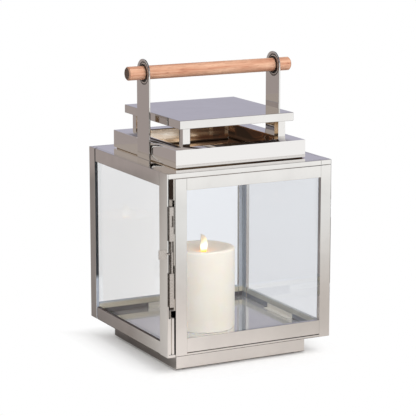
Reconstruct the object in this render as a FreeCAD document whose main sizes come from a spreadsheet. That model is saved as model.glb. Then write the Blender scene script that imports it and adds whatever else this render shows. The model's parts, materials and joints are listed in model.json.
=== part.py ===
"""Candle lantern: a polished steel and glass case on a plinth, with a vented roof,
a wooden carrying dowel, a hinged glass door with a turn latch, and a battery pillar candle.

Millimetres. +Z is up, the door faces -Y and the origin is on the table, on the case's centre line.
"""
import FreeCAD
import Part

import math
import os
import re

import Sketcher

doc = FreeCAD.newDocument("candle_lantern")

# ---------------------------------------------------------------- driving sizes

SIZES = {
    # plinth and feet
    "foot_radius": 7.0,
    "foot_height": 2.5,
    "foot_inset": 14.0,
    "plinth_width": 202.0,
    "plinth_height": 26.0,
    "plinth_flange": 24.0,
    "sheet_gauge": 1.5,
    # case
    "case_width": 254.0,
    "case_height": 252.0,
    "panel_depth": 5.0,
    "corner_stile": 19.0,
    "back_stile": 7.5,
    "back_rail_height": 20.3,
    "top_rail_height": 19.2,
    "bottom_rail_height": 18.5,
    "rail_shadow_gap": 2.5,
    "floor_height": 4.0,
    "top_plate_gauge": 2.0,
    "vent_opening": 120.0,
    "header_height": 7.0,
    # latch channel on the front left corner
    "channel_width": 19.0,
    "channel_depth": 23.5,
    "channel_gauge": 2.0,
    "guard_height": 54.5,
    "guard_recess": 1.0,
    "guard_width": 8.6,
    "guard_slot_offset": 3.7,
    "guard_slot_width": 1.4,
    "guard_slot_depth": 3.5,
    # glass and its clips
    "glass_gauge": 3.0,
    "glass_overlap": 6.0,
    "glass_end_gap": 0.3,
    "clip_gauge": 1.0,
    "clip_width": 72.0,
    "clip_foot": 6.0,
    "clip_lip": 5.0,
    "clip_leg": 7.0,
    # door
    "door_depth": 6.4,
    "door_reveal": 12.6,
    "door_stile": 17.0,
    "door_top_rail": 16.5,
    "door_bottom_rail": 20.5,
    "door_sill_reveal": 4.0,
    "door_seat_gap": 0.3,
    "door_head_gap": 0.5,
    # hinges
    "hinge_length": 26.0,
    "hinge_low": 63.5,
    "hinge_high": 183.0,
    "hinge_barrel_radius": 2.2,
    "hinge_barrel_length": 10.0,
    "hinge_pin_radius": 0.9,
    "hinge_offset": 0.2,
    "hinge_leaf_gauge": 1.0,
    "hinge_frame_leaf": 13.0,
    "hinge_door_leaf": 5.6,
    "barrel_relief": 0.4,
    "barrel_gap": 0.3,
    "running_fit": 0.05,
    # latch
    "spindle_radius": 1.5,
    "spindle_side": 5.5,
    "spindle_stand_off": 1.5,
    "spindle_engagement": 9.0,
    "latch_height": 144.5,
    "latch_grip": 7.3,
    "latch_tab_width": 11.5,
    "latch_tab_height": 12.5,
    "latch_tab_gauge": 1.2,
    "latch_arm_radius": 1.1,
    "latch_collar_radius": 2.4,
    "latch_collar_length": 29.0,
    "latch_rod_length": 17.0,
    "latch_bracket_height": 46.5,
    "latch_bracket_cheek": 2.75,
    "latch_bracket_nose": 2.1,
    "latch_slot_height": 15.0,
    "latch_slot_width": 4.0,
    # vent collar and roof
    "collar_width": 200.0,
    "collar_height": 25.6,
    "collar_flange": 12.0,
    "collar_seat_height": 1.5,
    "collar_seat_inset": 3.0,
    "collar_seat_width": 13.0,
    "collar_rim_width": 20.5,
    "post_size": 11.0,
    "roof_width": 176.0,
    "roof_height": 51.5,
    "roof_thickness": 11.5,
    "screw_radius": 1.5,
    "screw_head_radius": 3.0,
    "screw_head_height": 2.0,
    "screw_length": 10.0,
    # handle
    "handle_forward": 4.3,
    "strap_width": 38.0,
    "strap_gauge": 2.5,
    "strap_stand_off": 0.6,
    "dowel_height": 119.7,
    "dowel_radius": 9.5,
    "dowel_length": 254.0,
    "dowel_round": 1.5,
    "stud_radius": 2.0,
    "stud_shoulder_radius": 4.0,
    "stud_spacing": 22.0,
    "nut_width": 7.0,
    "nut_height": 3.2,
    # pillar candle
    "candle_left": 12.0,
    "candle_forward": 9.0,
    "candle_radius": 44.0,
    "candle_height": 116.5,
    "candle_rim": 3.0,
    "dish_depth": 7.5,
    "wax_neck_radius": 7.0,
    "wax_neck_length": 18.0,
    "core_radius": 27.8,
    "core_fit": 0.2,
    "core_wall": 2.8,
    "cover_thickness": 3.0,
    "battery_radius": 7.1,
    "battery_length": 50.5,
    "battery_circle": 13.5,
    "contact_radius": 4.0,
    "contact_height": 1.6,
    "core_partition": 8.0,
    "core_bore_radius": 9.0,
    "neck_wall": 0.9,
    "neck_rise": 13.0,
    "flame_height": 33.0,
    "flame_lean": 4.5,
    "flame_width": 11.0,
    "flame_gauge": 1.2,
    "flame_tail": 22.0,
    "flame_tail_width": 4.0,
    "flame_hole_radius": 0.6,
    "wire_radius": 0.4,
    "magnet_radius": 3.0,
    "magnet_length": 3.0,
    "led_radius": 2.5,
    "led_height": 8.0,
    "switch_length": 5.4,
    "switch_width": 4.6,
    "switch_travel": 3.0,
    "switch_clearance": 0.3,
    "switch_flange": 1.6,
    "switch_flange_gauge": 0.8,
}

# Places worked out from the sizes. A name may use the ones above it.
PLACES = {
    "half_case": "case_width / 2",
    "half_plinth": "plinth_width / 2",
    "half_collar": "collar_width / 2",
    "half_roof": "roof_width / 2",
    "half_inside": "half_case - panel_depth",
    "case_bottom": "foot_height + plinth_height",
    "case_top": "case_bottom + case_height",
    "floor_top": "case_bottom + floor_height",
    "floor_underside": "floor_top - sheet_gauge",
    "plate_bottom": "case_top - top_plate_gauge",
    "header_bottom": "case_top - header_height",
    # door planes and edges
    "door_back": "door_depth - half_case",
    "frame_front": "door_back + door_seat_gap",
    "door_left": "door_reveal - half_case",
    "door_top": "header_bottom - door_head_gap",
    "door_glass_left": "door_left + door_stile",
    "door_glass_right": "half_case - door_stile",
    "door_glass_low": "case_bottom + door_sill_reveal + door_bottom_rail",
    "door_glass_high": "door_top - door_top_rail",
    # fixed panels
    "channel_back": "channel_depth - half_case",
    "channel_right": "channel_width - half_case",
    "rear_stile_front": "half_case - corner_stile",
    "front_stile_back": "frame_front + corner_stile",
    "back_stile_edge": "half_inside - back_stile",
    "back_rail_low": "case_bottom + back_rail_height",
    "rail_low": "case_bottom + bottom_rail_height",
    "rail_high": "case_top - top_rail_height",
    "pane_low": "floor_top + glass_end_gap",
    "pane_high": "plate_bottom - glass_end_gap",
    "pane_face": "half_inside - glass_gauge",
    # hinge axis
    "hinge_x": "half_case + hinge_offset",
    "hinge_y": "door_back",
    "relief_radius": "hinge_barrel_radius + barrel_relief",
    # latch axis and levels
    "spindle_x": "spindle_side - half_case",
    "spindle_y": "-half_case - spindle_stand_off",
    "latch_z": "case_bottom + latch_height",
    "collar_high": "latch_z + 2 * latch_arm_radius",
    "collar_low": "collar_high - latch_collar_length",
    "lower_bracket_top": "collar_low - barrel_gap",
    "upper_bracket_low": "latch_z + latch_rod_length",
    "channel_inner": "channel_gauge - half_case",
    "guard_top": "case_bottom + guard_height",
    "guard_front": "guard_recess - half_case",
    "guard_slot_left": "channel_inner + guard_slot_offset",
    # collar, roof and handle
    "collar_low_edge": "case_top + collar_seat_height",
    "collar_rim": "case_top + collar_height",
    "roof_bottom": "case_top + roof_height",
    "roof_top": "roof_bottom + roof_thickness",
    "post_outer": "half_collar - collar_rim_width",
    "post_inner": "post_outer - post_size",
    "post_centre": "post_outer - post_size / 2",
    "dowel_z": "case_top + dowel_height",
    "handle_y": "-handle_forward",
    "strap_inner": "half_collar + strap_stand_off",
    "strap_outer": "strap_inner + strap_gauge",
    "stud_z": "(case_top + collar_rim) / 2",
    # candle levels, from the tray floor up
    "core_bottom": "floor_top + cover_thickness",
    "battery_low": "core_bottom + contact_height",
    "battery_high": "battery_low + battery_length",
    "core_bore_low": "battery_high + core_partition",
    "candle_top": "floor_top + candle_height",
    "dish_floor": "candle_top - dish_depth",
    "core_top": "dish_floor - wax_neck_length",
    "neck_radius": "wax_neck_radius - neck_wall / 9",
    "neck_bore": "neck_radius - neck_wall",
    "neck_top": "core_top + neck_rise",
    "pivot_z": "neck_top - 4 * flame_hole_radius - wire_radius",
}

sizes = doc.addObject("Spreadsheet::Sheet", "sizes")
for row, (alias, value) in enumerate(SIZES.items(), start=1):
    sizes.set(f"A{row}", alias)
    sizes.set(f"B{row}", str(value))
    sizes.setAlias(f"B{row}", alias)

NAME = re.compile(r"[a-z_]{2,}")


def bound(expression):
    """Write a sum of named sizes and places as an expression on the two sheets."""

    def qualify(match):
        name = match.group(0)
        if name in SIZES:
            return f"sizes.{name}"
        return f"places.{name}" if name in PLACES else name

    return NAME.sub(qualify, expression)


doc.recompute()
places = doc.addObject("Spreadsheet::Sheet", "places")
for row, (alias, expression) in enumerate(PLACES.items(), start=1):
    text = NAME.sub(lambda m: f"sizes.{m.group(0)}" if m.group(0) in SIZES else m.group(0), expression)
    places.set(f"A{row}", alias)
    places.set(f"B{row}", "=" + text)
    places.setAlias(f"B{row}", alias)
    doc.recompute()


def value(name):
    """The number behind a named size or place."""
    sheet = sizes if name in SIZES else places
    return float(sheet.get(name))


# ---------------------------------------------------------------- building blocks

nodes = {}


def node(name, part):
    """Register a finished piece under the name that its file will carry."""
    part.Label = name
    nodes[name] = part
    return part


def place(part, x, y, z):
    """Tie a part's position to the sheets."""
    for axis, expression in (("x", x), ("y", y), ("z", z)):
        part.setExpression(f"Placement.Base.{axis}", bound(expression))


def box(name, x, y, z):
    """A rectangular bar or sheet between named low and high limits on each axis."""
    part = doc.addObject("Part::Box", name)
    for side, (low, high) in (("Length", x), ("Width", y), ("Height", z)):
        part.setExpression(side, bound(f"({high}) - ({low})"))
    place(part, x[0], y[0], z[0])
    return part


TURN = {
    "x": FreeCAD.Rotation(FreeCAD.Vector(0, 1, 0), 90),
    "y": FreeCAD.Rotation(FreeCAD.Vector(1, 0, 0), -90),
    "z": FreeCAD.Rotation(),
}


def rod(name, radius, length, start, axis="z"):
    """A round bar from a start point along +X, +Y or +Z."""
    part = doc.addObject("Part::Cylinder", name)
    part.setExpression("Radius", bound(radius))
    part.setExpression("Height", bound(length))
    part.Placement = FreeCAD.Placement(FreeCAD.Vector(), TURN[axis])
    place(part, *start)
    return part


def fuse(name, parts):
    """Join blanks into one solid."""
    part = doc.addObject("Part::MultiFuse", name)
    part.Shapes = parts
    part.Refine = True
    return part


def cut(name, base, tools):
    """Take one or more tools out of a blank."""
    tool = tools[0] if len(tools) == 1 else fuse(name + "_tools", tools)
    part = doc.addObject("Part::Cut", name)
    part.Base = base
    part.Tool = tool
    part.Refine = True
    return part


def group(name, parts):
    """Keep like pieces as separate solids of one node."""
    part = doc.addObject("Part::Compound", name)
    part.Links = parts
    return part


def plane_of(body, role):
    """A body's own origin plane, by role."""
    return next(f for f in body.Origin.OriginFeatures if f.Role == role)


def turned(name, profile):
    """A lathe-turned body: a closed (radius, height) profile revolved about its own vertical axis."""
    body = doc.addObject("PartDesign::Body", name)
    sketch = body.newObject("Sketcher::SketchObject", name + "_profile")
    sketch.AttachmentSupport = (plane_of(body, "XZ_Plane"), [""])
    sketch.MapMode = "FlatFace"
    doc.recompute()
    corners = [(number(radius), number(height)) for radius, height in profile]
    count = len(corners)
    for index, (x, y) in enumerate(corners):
        end_x, end_y = corners[(index + 1) % count]
        start = FreeCAD.Vector(x, y, 0)
        end = FreeCAD.Vector(end_x, end_y, 0)
        sketch.addGeometry(Part.LineSegment(start, end), False)
    for index in range(count):
        sketch.addConstraint(Sketcher.Constraint("Coincident", index, 2, (index + 1) % count, 1))
    for index, (radius, height) in enumerate(profile):
        for kind, axis_line, text, size in (("DistanceX", -2, radius, corners[index][0]),
                                            ("DistanceY", -1, height, corners[index][1])):
            if text == "0":
                sketch.addConstraint(Sketcher.Constraint("PointOnObject", index, 1, axis_line))
                continue
            slot = sketch.addConstraint(Sketcher.Constraint(kind, -1, 1, index, 1, size))
            sketch.setExpression(f"Constraints[{slot}]", bound(text))
    turn = body.newObject("PartDesign::Revolution", name + "_turn")
    turn.Profile = sketch
    turn.ReferenceAxis = (sketch, ["V_Axis"])
    turn.Angle = 360
    body.Tip = turn
    doc.recompute()
    return body


def number(expression):
    """Work out a sum of named sizes, for a sketch's first drawing."""
    text = NAME.sub(lambda m: repr(value(m.group(0))), expression)
    total = FreeCAD.Units.Quantity(text)
    return float(total.Value)


def flipped(low, high, side):
    """The limits between low and high on the +1 side, or their mirror on the -1 side."""
    return (low, high) if side > 0 else (f"-({high})", f"-({low})")


# ---------------------------------------------------------------- plinth and feet

def make_feet():
    """Four rubber pads under the plinth's corners."""
    pads = []
    centre = "half_plinth - foot_inset"
    for x_side in (-1, 1):
        for y_side in (-1, 1):
            start = (f"{x_side} * ({centre})", f"{y_side} * ({centre})", "0")
            pads.append(rod("foot_pad", "foot_radius", "foot_height", start))
    node("foot_pads", group("foot_pads", pads))


def folded_ring(name, half_width, wall_low, wall_high, flanges):
    """Four folded sheet strips that make a square ring.

    flanges lists (low, high, width) for each inward lip of the strips.
    """
    strips = []
    inner = f"{half_width} - sheet_gauge"
    for side in (-1, 1):
        span = (f"-({half_width})", half_width)
        lips = [box(name + "_wall", span, flipped(inner, half_width, side), (wall_low, wall_high))]
        for low, high, width in flanges:
            reach = flipped(f"{half_width} - {width}", inner, side)
            lips.append(box(name + "_lip", (f"-({inner})", inner), reach, (low, high)))
        strips.append(fuse(name + "_strip", lips))
    for side in (-1, 1):
        span = (f"-({inner})", inner)
        lips = [box(name + "_wall", flipped(inner, half_width, side), span, (wall_low, wall_high))]
        for low, high, width in flanges:
            short = f"{half_width} - {width}"
            lips.append(box(name + "_lip", flipped(short, inner, side), (f"-({short})", short), (low, high)))
        strips.append(fuse(name + "_strip", lips))
    return group(name, strips)


def make_plinth():
    """A folded sheet skirt. Its upper lip meets the floor pan's underside, its lower lip carries the feet."""
    flanges = [
        ("foot_height", "foot_height + sheet_gauge", "plinth_flange"),
        ("floor_underside - sheet_gauge", "floor_underside", "collar_flange"),
    ]
    node("plinth_sides", folded_ring("plinth_sides", "half_plinth", "foot_height", "floor_underside", flanges))


# ---------------------------------------------------------------- fixed case

def make_floor():
    """A pan turned upside down is the case's floor. A sill and a slotted guard close the latch channel below."""
    outer = box("floor_outer", ("-half_inside", "half_inside"), ("frame_front", "half_inside"),
                ("case_bottom", "floor_top"))
    inner = box("floor_inner", ("sheet_gauge - half_inside", "half_inside - sheet_gauge"),
                ("frame_front + sheet_gauge", "half_inside - sheet_gauge"),
                ("case_bottom", "floor_underside"))
    node("floor_pan", cut("floor_pan", outer, [inner]))
    front = box("sill_front", ("channel_inner", "door_left - door_head_gap"), ("-half_case", "frame_front"),
                ("case_bottom", "floor_top"))
    side = box("sill_side", ("channel_inner", "-half_inside"), ("frame_front", "channel_back"),
               ("case_bottom", "floor_top"))
    node("channel_sill", fuse("channel_sill", [front, side]))
    block = box("guard_block", ("channel_inner", "channel_inner + guard_width"), ("guard_front", "frame_front"),
                ("floor_top", "guard_top"))
    slot = box("guard_slot", ("guard_slot_left", "guard_slot_left + guard_slot_width"),
               ("guard_front", "guard_front + guard_slot_depth"), ("floor_top", "guard_top"))
    node("channel_guard", cut("channel_guard", block, [slot]))


def make_channel():
    """The folded latch channel on the front left corner: a tall outer wall, a back and an inner wall."""
    outer = box("channel_outer", ("-half_case", "channel_inner"), ("-half_case", "channel_back"),
                ("case_bottom", "case_top"))
    back = box("channel_rear", ("channel_inner", "channel_right"),
               ("channel_back - channel_gauge", "channel_back"), ("floor_top", "plate_bottom"))
    inner = box("channel_jamb", ("channel_right - channel_gauge", "channel_right"),
                ("frame_front", "channel_back - channel_gauge"), ("floor_top", "plate_bottom"))
    node("latch_channel", fuse("latch_channel", [outer, back, inner]))


def make_side_panels():
    """Flat stiles and rails of the left and right sides."""
    height = ("case_bottom", "case_top")
    for label, side in (("left", -1), ("right", 1)):
        wall = flipped("half_inside", "half_case", side)
        front = "channel_back" if side < 0 else "front_stile_back"
        rail_run = (front, "rear_stile_front - rail_shadow_gap")
        node(f"{label}_rear_stile", box(f"{label}_rear_stile", wall, ("rear_stile_front", "half_case"), height))
        node(f"{label}_top_rail", box(f"{label}_top_rail", wall, rail_run, ("rail_high", "case_top")))
        node(f"{label}_bottom_rail", box(f"{label}_bottom_rail", wall, rail_run, ("case_bottom", "rail_low")))
    blank = box("front_stile_blank", ("half_inside", "half_case"), ("frame_front", "front_stile_back"), height)
    pockets = hinge_reliefs("frame")
    for level in ("hinge_low", "hinge_high"):
        pockets.append(box("leaf_pocket", ("half_case - hinge_leaf_gauge", "half_case"),
                           ("hinge_y", "hinge_y + hinge_frame_leaf"), hinge_span(level)))
    node("right_front_stile", cut("right_front_stile", blank, pockets))


def make_back_panel():
    """Stiles and rails of the back, between the two side panels."""
    wall = ("half_inside", "half_case")
    for label, side in (("left", -1), ("right", 1)):
        name = f"back_stile_{label}"
        node(name, box(name, flipped("back_stile_edge", "half_inside", side), wall, ("case_bottom", "case_top")))
    run = ("-back_stile_edge", "back_stile_edge")
    node("back_top_rail", box("back_top_rail", run, wall, ("rail_high", "case_top")))
    node("back_bottom_rail", box("back_bottom_rail", run, wall, ("case_bottom", "back_rail_low")))


def make_head():
    """The header over the door, its corner block, and the case's top plate with the vent hole."""
    depth = ("-half_case", "frame_front")
    height = ("header_bottom", "case_top")
    node("door_header", box("door_header", ("channel_inner", "door_glass_right"), depth, height))
    node("header_block", box("header_block", ("door_glass_right", "half_case"), depth, height))
    gauge = ("plate_bottom", "case_top")
    sheet = box("plate_sheet", ("-half_inside", "half_inside"), ("frame_front", "half_inside"), gauge)
    tab = box("plate_tab", ("channel_inner", "-half_inside"), ("frame_front", "channel_back"), gauge)
    half = "vent_opening / 2"
    vent = box("plate_vent", (f"-{half}", half), (f"-{half}", half), gauge)
    plate = cut("plate_vented", fuse("plate_blank", [sheet, tab]), [vent])
    drilled("top_plate", plate, "plate_bottom", "top_plate_gauge")


# ---------------------------------------------------------------- glass

def across_or_along(name, across, run, height, along):
    """A box whose run lies along Y or along X."""
    return box(name, across, run, height) if along == "y" else box(name, run, across, height)


def angle_clips(name, middle, side, along="y"):
    """Two bent angles, on the floor and under the top plate, that hold a fixed pane against its frame."""
    run = (f"{middle} - clip_width / 2", f"{middle} + clip_width / 2")
    upright = flipped("pane_face - clip_gauge", "pane_face", side)
    foot = flipped("pane_face - clip_leg", "pane_face", side)
    clips = []
    for leg_z, foot_z in (
        (("floor_top", "floor_top + clip_leg"), ("floor_top", "floor_top + clip_gauge")),
        (("plate_bottom - clip_leg", "plate_bottom"), ("plate_bottom - clip_gauge", "plate_bottom")),
    ):
        clips.append(fuse("angle_clip", [across_or_along("clip_leg", upright, run, leg_z, along),
                                         across_or_along("clip_foot", foot, run, foot_z, along)]))
    return group(name, clips)


def stepped_clips(name, middle, pane_edges):
    """Two stepped strips on the door's rails that hold its pane."""
    run = (f"{middle} - clip_width / 2", f"{middle} + clip_width / 2")
    pane_back = "door_back + glass_gauge"
    clips = []
    for edge, away in pane_edges:
        outward = "+" if away > 0 else "-"
        inward = "-" if away > 0 else "+"
        foot_z = sorted_limits(edge, f"{edge} {outward} clip_foot", away)
        step_z = sorted_limits(edge, f"{edge} {outward} clip_gauge", away)
        lip_z = sorted_limits(f"{edge} {inward} clip_lip", f"{edge} {outward} clip_gauge", away)
        clips.append(fuse("stepped_clip", [
            box("clip_foot", run, ("door_back", "door_back + clip_gauge"), foot_z),
            box("clip_step", run, ("door_back", f"{pane_back} + clip_gauge"), step_z),
            box("clip_lip", run, (pane_back, f"{pane_back} + clip_gauge"), lip_z),
        ]))
    return group(name, clips)


def sorted_limits(near, far, away):
    """Low and high of a run that goes up when away is +1 and down when it is -1."""
    return (near, far) if away > 0 else (far, near)


def make_fixed_glass():
    """Three fixed panes on the inside of their frames, from the floor to the top plate, with two clips each."""
    height = ("pane_low", "pane_high")
    middle = "(channel_back + rear_stile_front) / 2"
    rear = "rear_stile_front + glass_overlap"
    for label, side, front in (("left", -1, "channel_back + door_seat_gap"),
                               ("right", 1, "front_stile_back - glass_overlap")):
        pane = box(f"glass_{label}", flipped("pane_face", "half_inside", side), (front, rear), height)
        node(f"glass_{label}", pane)
        node(f"glass_clips_{label}", angle_clips(f"glass_clips_{label}", middle, side))
    half = "back_stile_edge + glass_overlap"
    node("glass_back", box("glass_back", (f"-({half})", half), ("pane_face", "half_inside"), height))
    node("glass_clips_back", angle_clips("glass_clips_back", "0", 1, along="x"))


# ---------------------------------------------------------------- door and hinges

def hinge_span(level, margin="0"):
    """The height range of a hinge that stands level above the case's bottom."""
    centre = f"case_bottom + {level}"
    return (f"{centre} - hinge_length / 2 - {margin}", f"{centre} + hinge_length / 2 + {margin}")


def hinge_reliefs(name):
    """Round cutters that clear the two hinge barrels."""
    cutters = []
    for level in ("hinge_low", "hinge_high"):
        low, _ = hinge_span(level, "barrel_gap")
        cutters.append(rod(f"{name}_relief", "relief_radius", "hinge_length + 2 * barrel_gap",
                           ("hinge_x", "hinge_y", low)))
    return cutters


def make_hinges():
    """Two butt hinges let into the front right edge: frame half, door half and pin."""
    frame_halves = []
    door_halves = []
    pins = []
    for level in ("hinge_low", "hinge_high"):
        low, high = hinge_span(level)
        centre = f"case_bottom + {level}"
        barrel_low = f"{centre} - hinge_barrel_length / 2"
        barrel_high = f"{centre} + hinge_barrel_length / 2"
        end = "(hinge_length - hinge_barrel_length) / 2 - barrel_gap"
        depth = ("half_case - hinge_leaf_gauge", "half_case")
        axis = ("hinge_x", "hinge_y")
        leaf = [box("frame_leaf", depth, ("hinge_y + relief_radius", "hinge_y + hinge_frame_leaf"), (low, high))]
        for barrel_base in (low, f"{barrel_high} + barrel_gap"):
            leaf.append(rod("frame_barrel", "hinge_barrel_radius", end, (*axis, barrel_base)))
            leaf.append(box("frame_lug", depth, ("hinge_y + hinge_barrel_radius / 2", "hinge_y + relief_radius"),
                            (barrel_base, f"{barrel_base} + {end}")))
        bore = rod("frame_bore", "hinge_pin_radius", "hinge_length", (*axis, low))
        frame_halves.append(cut("frame_hinge", fuse("frame_hinge_blank", leaf), [bore]))
        blade = [
            box("door_leaf", depth, ("hinge_y - hinge_door_leaf", "hinge_y - relief_radius"), (low, high)),
            rod("door_barrel", "hinge_barrel_radius", "hinge_barrel_length", (*axis, barrel_low)),
            box("door_lug", depth, ("hinge_y - relief_radius", "hinge_y - hinge_barrel_radius / 2"),
                (barrel_low, barrel_high)),
        ]
        bore = rod("door_bore", "hinge_pin_radius + running_fit", "hinge_barrel_length", (*axis, barrel_low))
        door_halves.append(cut("door_hinge", fuse("door_hinge_blank", blade), [bore]))
        pins.append(rod("hinge_pin", "hinge_pin_radius", "hinge_length", (*axis, low)))
    node("hinge_frame_halves", group("hinge_frame_halves", frame_halves))
    node("hinge_door_halves", group("hinge_door_halves", door_halves))
    node("hinge_pins", group("hinge_pins", pins))


def make_door():
    """The door: two full-height stiles, two rails, a pane and its four tabs."""
    depth = ("-half_case", "door_back")
    height = ("case_bottom", "door_top")
    node("door_stile_left", box("door_stile_left", ("door_left", "door_glass_left"), depth, height))
    blank = box("hinge_stile_blank", ("door_glass_right", "half_case"), depth, height)
    cutters = hinge_reliefs("door")
    for level in ("hinge_low", "hinge_high"):
        cutters.append(box("door_leaf_pocket", ("half_case - hinge_leaf_gauge", "half_case"),
                           ("hinge_y - hinge_door_leaf", "hinge_y"), hinge_span(level)))
    node("door_stile_right", cut("door_stile_right", blank, cutters))
    run = ("door_glass_left", "door_glass_right")
    node("door_rail_top", box("door_rail_top", run, depth, ("door_glass_high", "door_top")))
    node("door_rail_bottom", box("door_rail_bottom", run, depth,
                                 ("door_glass_low - door_bottom_rail", "door_glass_low")))
    low = "door_glass_low - glass_overlap"
    high = "door_glass_high + glass_overlap"
    node("door_glass", box("door_glass", ("door_glass_left - glass_overlap", "door_glass_right + glass_overlap"),
                           ("door_back", "door_back + glass_gauge"), (low, high)))
    middle = "(door_glass_left + door_glass_right) / 2"
    node("door_clips", stepped_clips("door_clips", middle, ((low, -1), (high, 1))))


# ---------------------------------------------------------------- latch

def make_latch():
    """A turn latch: a vertical spindle in two brackets, with a square tab on a short arm."""
    depth = ("spindle_y - latch_bracket_nose", "frame_front - door_seat_gap")
    reach = ("channel_inner", "spindle_x + latch_bracket_cheek")
    lower = ("lower_bracket_top - latch_bracket_height", "lower_bracket_top")
    upper = ("upper_bracket_low", "upper_bracket_low + latch_bracket_height")
    bore = "spindle_radius + running_fit"
    socket_depth = "spindle_engagement + barrel_gap"
    low_blank = box("lower_bracket_blank", reach, depth, lower)
    low_bore = rod("lower_bore", bore, socket_depth,
                   ("spindle_x", "spindle_y", f"lower_bracket_top - ({socket_depth})"))
    high_blank = box("upper_bracket_blank", reach, depth, upper)
    high_bore = rod("upper_bore", bore, socket_depth, ("spindle_x", "spindle_y", "upper_bracket_low"))
    slot_middle = "upper_bracket_low + latch_bracket_height / 2"
    slot = box("bracket_slot", ("spindle_x - latch_slot_width / 2", "spindle_x + latch_slot_width / 2"),
               ("spindle_y - latch_bracket_nose", "spindle_y"),
               (f"{slot_middle} - latch_slot_height / 4", f"{slot_middle} + latch_slot_height * 3 / 4"))
    brackets = [cut("lower_bracket", low_blank, [low_bore]), cut("upper_bracket", high_blank, [high_bore, slot])]
    node("latch_brackets", group("latch_brackets", brackets))

    spindle = rod("spindle", "spindle_radius",
                  "upper_bracket_low - lower_bracket_top + 2 * spindle_engagement",
                  ("spindle_x", "spindle_y", "lower_bracket_top - spindle_engagement"))
    collar = rod("latch_collar", "latch_collar_radius", "latch_collar_length",
                 ("spindle_x", "spindle_y", "collar_low"))
    arm = rod("latch_arm", "latch_arm_radius", "latch_grip + latch_arm_radius",
              ("spindle_x - latch_grip - latch_arm_radius", "spindle_y", "latch_z"), "x")
    tab = box("latch_tab", ("spindle_x - latch_grip - latch_tab_width", "spindle_x - latch_grip"),
              ("spindle_y - latch_tab_gauge / 2", "spindle_y + latch_tab_gauge / 2"),
              ("latch_z - latch_tab_height / 2", "latch_z + latch_tab_height / 2"))
    node("latch_lever", fuse("latch_lever", [spindle, collar, arm, tab]))


# ---------------------------------------------------------------- vent collar, roof and handle

def square_ring(name, outer, inner, z):
    """A flat square washer."""
    blank = box(name + "_blank", (f"-({outer})", outer), (f"-({outer})", outer), z)
    hole = box(name + "_hole", (f"-({inner})", inner), (f"-({inner})", inner), z)
    return cut(name, blank, [hole])


def make_collar():
    """The vent collar: a seat ring on the case, and four folded sides with an inward rim."""
    outer = "half_collar - collar_seat_inset"
    node("collar_seat", square_ring("collar_seat", outer, f"{outer} - collar_seat_width",
                                    ("case_top", "collar_low_edge")))
    flanges = [
        ("collar_low_edge", "collar_low_edge + sheet_gauge", "collar_flange"),
        ("collar_rim - sheet_gauge", "collar_rim", "collar_rim_width"),
    ]
    ring = folded_ring("collar_folds", "half_collar", "collar_low_edge", "collar_rim", flanges)
    holes = []
    for side in (-1, 1):
        for offset in (-1, 1):
            low = "half_collar - sheet_gauge"
            start = low if side > 0 else "-half_collar"
            holes.append(rod("stud_hole", "stud_radius + running_fit", "sheet_gauge",
                             (start, f"handle_y + {offset} * stud_spacing / 2", "stud_z"), "x"))
    node("collar_sides", cut("collar_sides", ring, holes))


def make_roof():
    """Four short posts, the roof tray and the plate that closes it, and the screws that hold the posts."""
    posts = []
    screws = []
    for x_side in (-1, 1):
        for y_side in (-1, 1):
            blank = box("post_blank", flipped("post_inner", "post_outer", x_side),
                        flipped("post_inner", "post_outer", y_side), ("case_top", "roof_bottom"))
            axis = (f"{x_side} * post_centre", f"{y_side} * post_centre")
            low_thread = "screw_length - top_plate_gauge"
            high_thread = "screw_length - sheet_gauge"
            holes = [rod("post_tapping", "screw_radius", low_thread, (*axis, "case_top")),
                     rod("post_tapping", "screw_radius", high_thread, (*axis, f"roof_bottom - ({high_thread})"))]
            posts.append(cut("vent_post", blank, holes))
            for head, shank in (("plate_bottom - screw_head_height", "plate_bottom"),
                                ("roof_bottom + sheet_gauge", f"roof_bottom - ({high_thread})")):
                screws.append(fuse("post_screw", [
                    rod("screw_head", "screw_head_radius", "screw_head_height", (*axis, head)),
                    rod("screw_shank", "screw_radius", "screw_length", (*axis, shank)),
                ]))
    node("vent_posts", group("vent_posts", posts))
    node("post_screws", group("post_screws", screws))
    shell = "half_roof - sheet_gauge"
    outer = box("roof_outer", ("-half_roof", "half_roof"), ("-half_roof", "half_roof"), ("roof_bottom", "roof_top"))
    inner = box("roof_inner", (f"-({shell})", shell), (f"-({shell})", shell),
                ("roof_bottom", "roof_top - sheet_gauge"))
    node("roof_tray", cut("roof_tray", outer, [inner]))
    plate = box("roof_plate", (f"-({shell})", shell), (f"-({shell})", shell),
                ("roof_bottom", "roof_bottom + sheet_gauge"))
    drilled("roof_underplate", plate, "roof_bottom", "sheet_gauge")


def drilled(name, sheet, low, gauge):
    """A sheet with the four post screw holes through it."""
    holes = [rod("screw_hole", "screw_radius", gauge,
                 (f"{x_side} * post_centre", f"{y_side} * post_centre", low))
             for x_side in (-1, 1) for y_side in (-1, 1)]
    return node(name, cut(name, sheet, holes))


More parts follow.
